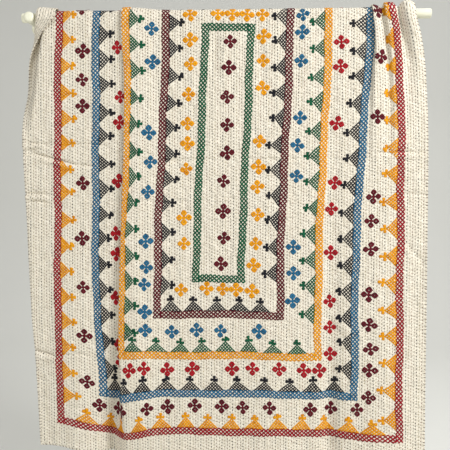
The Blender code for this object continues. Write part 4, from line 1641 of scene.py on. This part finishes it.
@dataclass
class Studio:
    """Pale floor and backdrop, soft lights, and the camera."""

    floor_drop: float = 0.35
    backdrop_distance: float = 4.6
    half_size: float = 7.0
    sweep: float = 1.6
    camera_place: tuple[float, float, float] = (0.115, -2.350, -0.715)
    yaw: float = 2.71
    pitch: float = 1.68
    roll: float = 0.18
    view_width: float = 41.2

    def build(self) -> None:
        """Make the floor, the lights and the camera."""
        low, _ = CAD_BOX
        self.build_floor(low.z - self.floor_drop)
        self.light("key_light", (3.3, -2.5, 1.7), (0.0, -0.1, -0.8), 1.3, 190.0)
        self.light("fill_light", (-2.6, -3.6, 0.2), (0.0, -0.1, -0.8), 2.8, 44.0)
        self.light("back_light", (0.6, 3.0, 2.4), (0.0, 0.0, -0.6), 2.4, 60.0)
        world = bpy.data.worlds.new("pale_room")
        world.use_nodes = True
        world.node_tree.nodes["Background"].inputs["Color"].default_value = tone(232, 232, 228)
        world.node_tree.nodes["Background"].inputs["Strength"].default_value = 0.55
        bpy.context.scene.world = world
        bpy.context.scene.view_settings.view_transform = "Standard"
        self.build_camera()

    def build_floor(self, level: float) -> None:
        """A floor that sweeps up into a far backdrop: flat, a quarter circle, then upright."""
        turn = np.linspace(0.0, math.pi / 2, 13)
        reach = np.concatenate([[-self.half_size], self.backdrop_distance - self.sweep
                                + self.sweep * np.sin(turn), [self.backdrop_distance]])
        rise = np.concatenate([[0.0], self.sweep * (1.0 - np.cos(turn)), [6.0]]) + level
        count = len(reach)
        points = np.array([(x, y, z) for x in (-self.half_size, self.half_size)
                           for y, z in zip(reach, rise)])
        first = np.arange(count - 1)
        faces = np.stack([first, first + 1, first + 1 + count, first + count], axis=1)[:, ::-1]
        tree = FinishTree("pale_backdrop")
        tree.feed(tree.shader.inputs["Base Color"], tone(226, 226, 222))
        tree.feed(tree.shader.inputs["Roughness"], 0.9)
        mesh = bpy.data.meshes.new("floor")
        mesh.from_pydata(points.tolist(), [], faces.tolist())
        mesh.shade_smooth()
        mesh.materials.append(tree.material)
        floor = bpy.data.objects.new("floor", mesh)
        bpy.context.scene.collection.objects.link(floor)
        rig.stage(floor)

    def light(self, name: str, place: tuple[float, float, float],
              aim: tuple[float, float, float], size: float, watts: float) -> None:
        """A square area light at a place, turned towards another."""
        lamp = bpy.data.lights.new(name, "AREA")
        lamp.energy = watts
        lamp.size = size
        item = bpy.data.objects.new(name, lamp)
        item.location = place
        item.rotation_euler = (Vector(aim) - Vector(place)).to_track_quat("-Z", "Y").to_euler()
        bpy.context.scene.collection.objects.link(item)

    def build_camera(self) -> None:
        """A camera turned by yaw to the left, pitch down and a little roll."""
        yaw, pitch, roll = (math.radians(v) for v in (self.yaw, self.pitch, self.roll))
        ahead = Vector((-math.sin(yaw) * math.cos(pitch), math.cos(yaw) * math.cos(pitch),
                        -math.sin(pitch)))
        level = Vector((math.cos(yaw), math.sin(yaw), 0.0))
        upright = level.cross(ahead)
        right = level * math.cos(roll) + upright * math.sin(roll)
        above = right.cross(ahead)
        data = bpy.data.cameras.new("camera")
        data.sensor_width = 36.0
        data.lens = data.sensor_width / 2.0 / math.tan(math.radians(self.view_width) / 2.0)
        camera = bpy.data.objects.new("camera", data)
        turn = Matrix((right, above, -ahead)).transposed()
        camera.matrix_world = Matrix.Translation(self.camera_place) @ turn.to_4x4()
        bpy.context.scene.collection.objects.link(camera)
        bpy.context.scene.camera = camera


def write_sizes() -> None:
    """Write the CAD box and the visual model's box, in metres."""
    boxes = {"cad": [list(corner) for corner in CAD_BOX],
             "visual": [list(corner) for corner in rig.bounds()]}
    with open("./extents.json", "w") as out:
        json.dump(boxes, out)
    LOG.info("boxes: %s", boxes)


def main() -> None:
    """Build the whole scene in order."""
    logging.basicConfig(level=logging.INFO, format="%(message)s")
    random = np.random.default_rng(SEED)
    drape = Drape()
    quilt = QuiltCloth(drape)
    cloth = quilt.build()
    motifs, covered = Embroidery(drape, random).build()
    stitches = RunningStitch(drape, random, covered).build()
    hem = HemStitch(drape, random).build()
    quilt.declare(cloth, motifs + stitches + [hem])
    WallPole().dress()
    Studio().build()
    write_sizes()


if __name__ == "__main__":
    main()
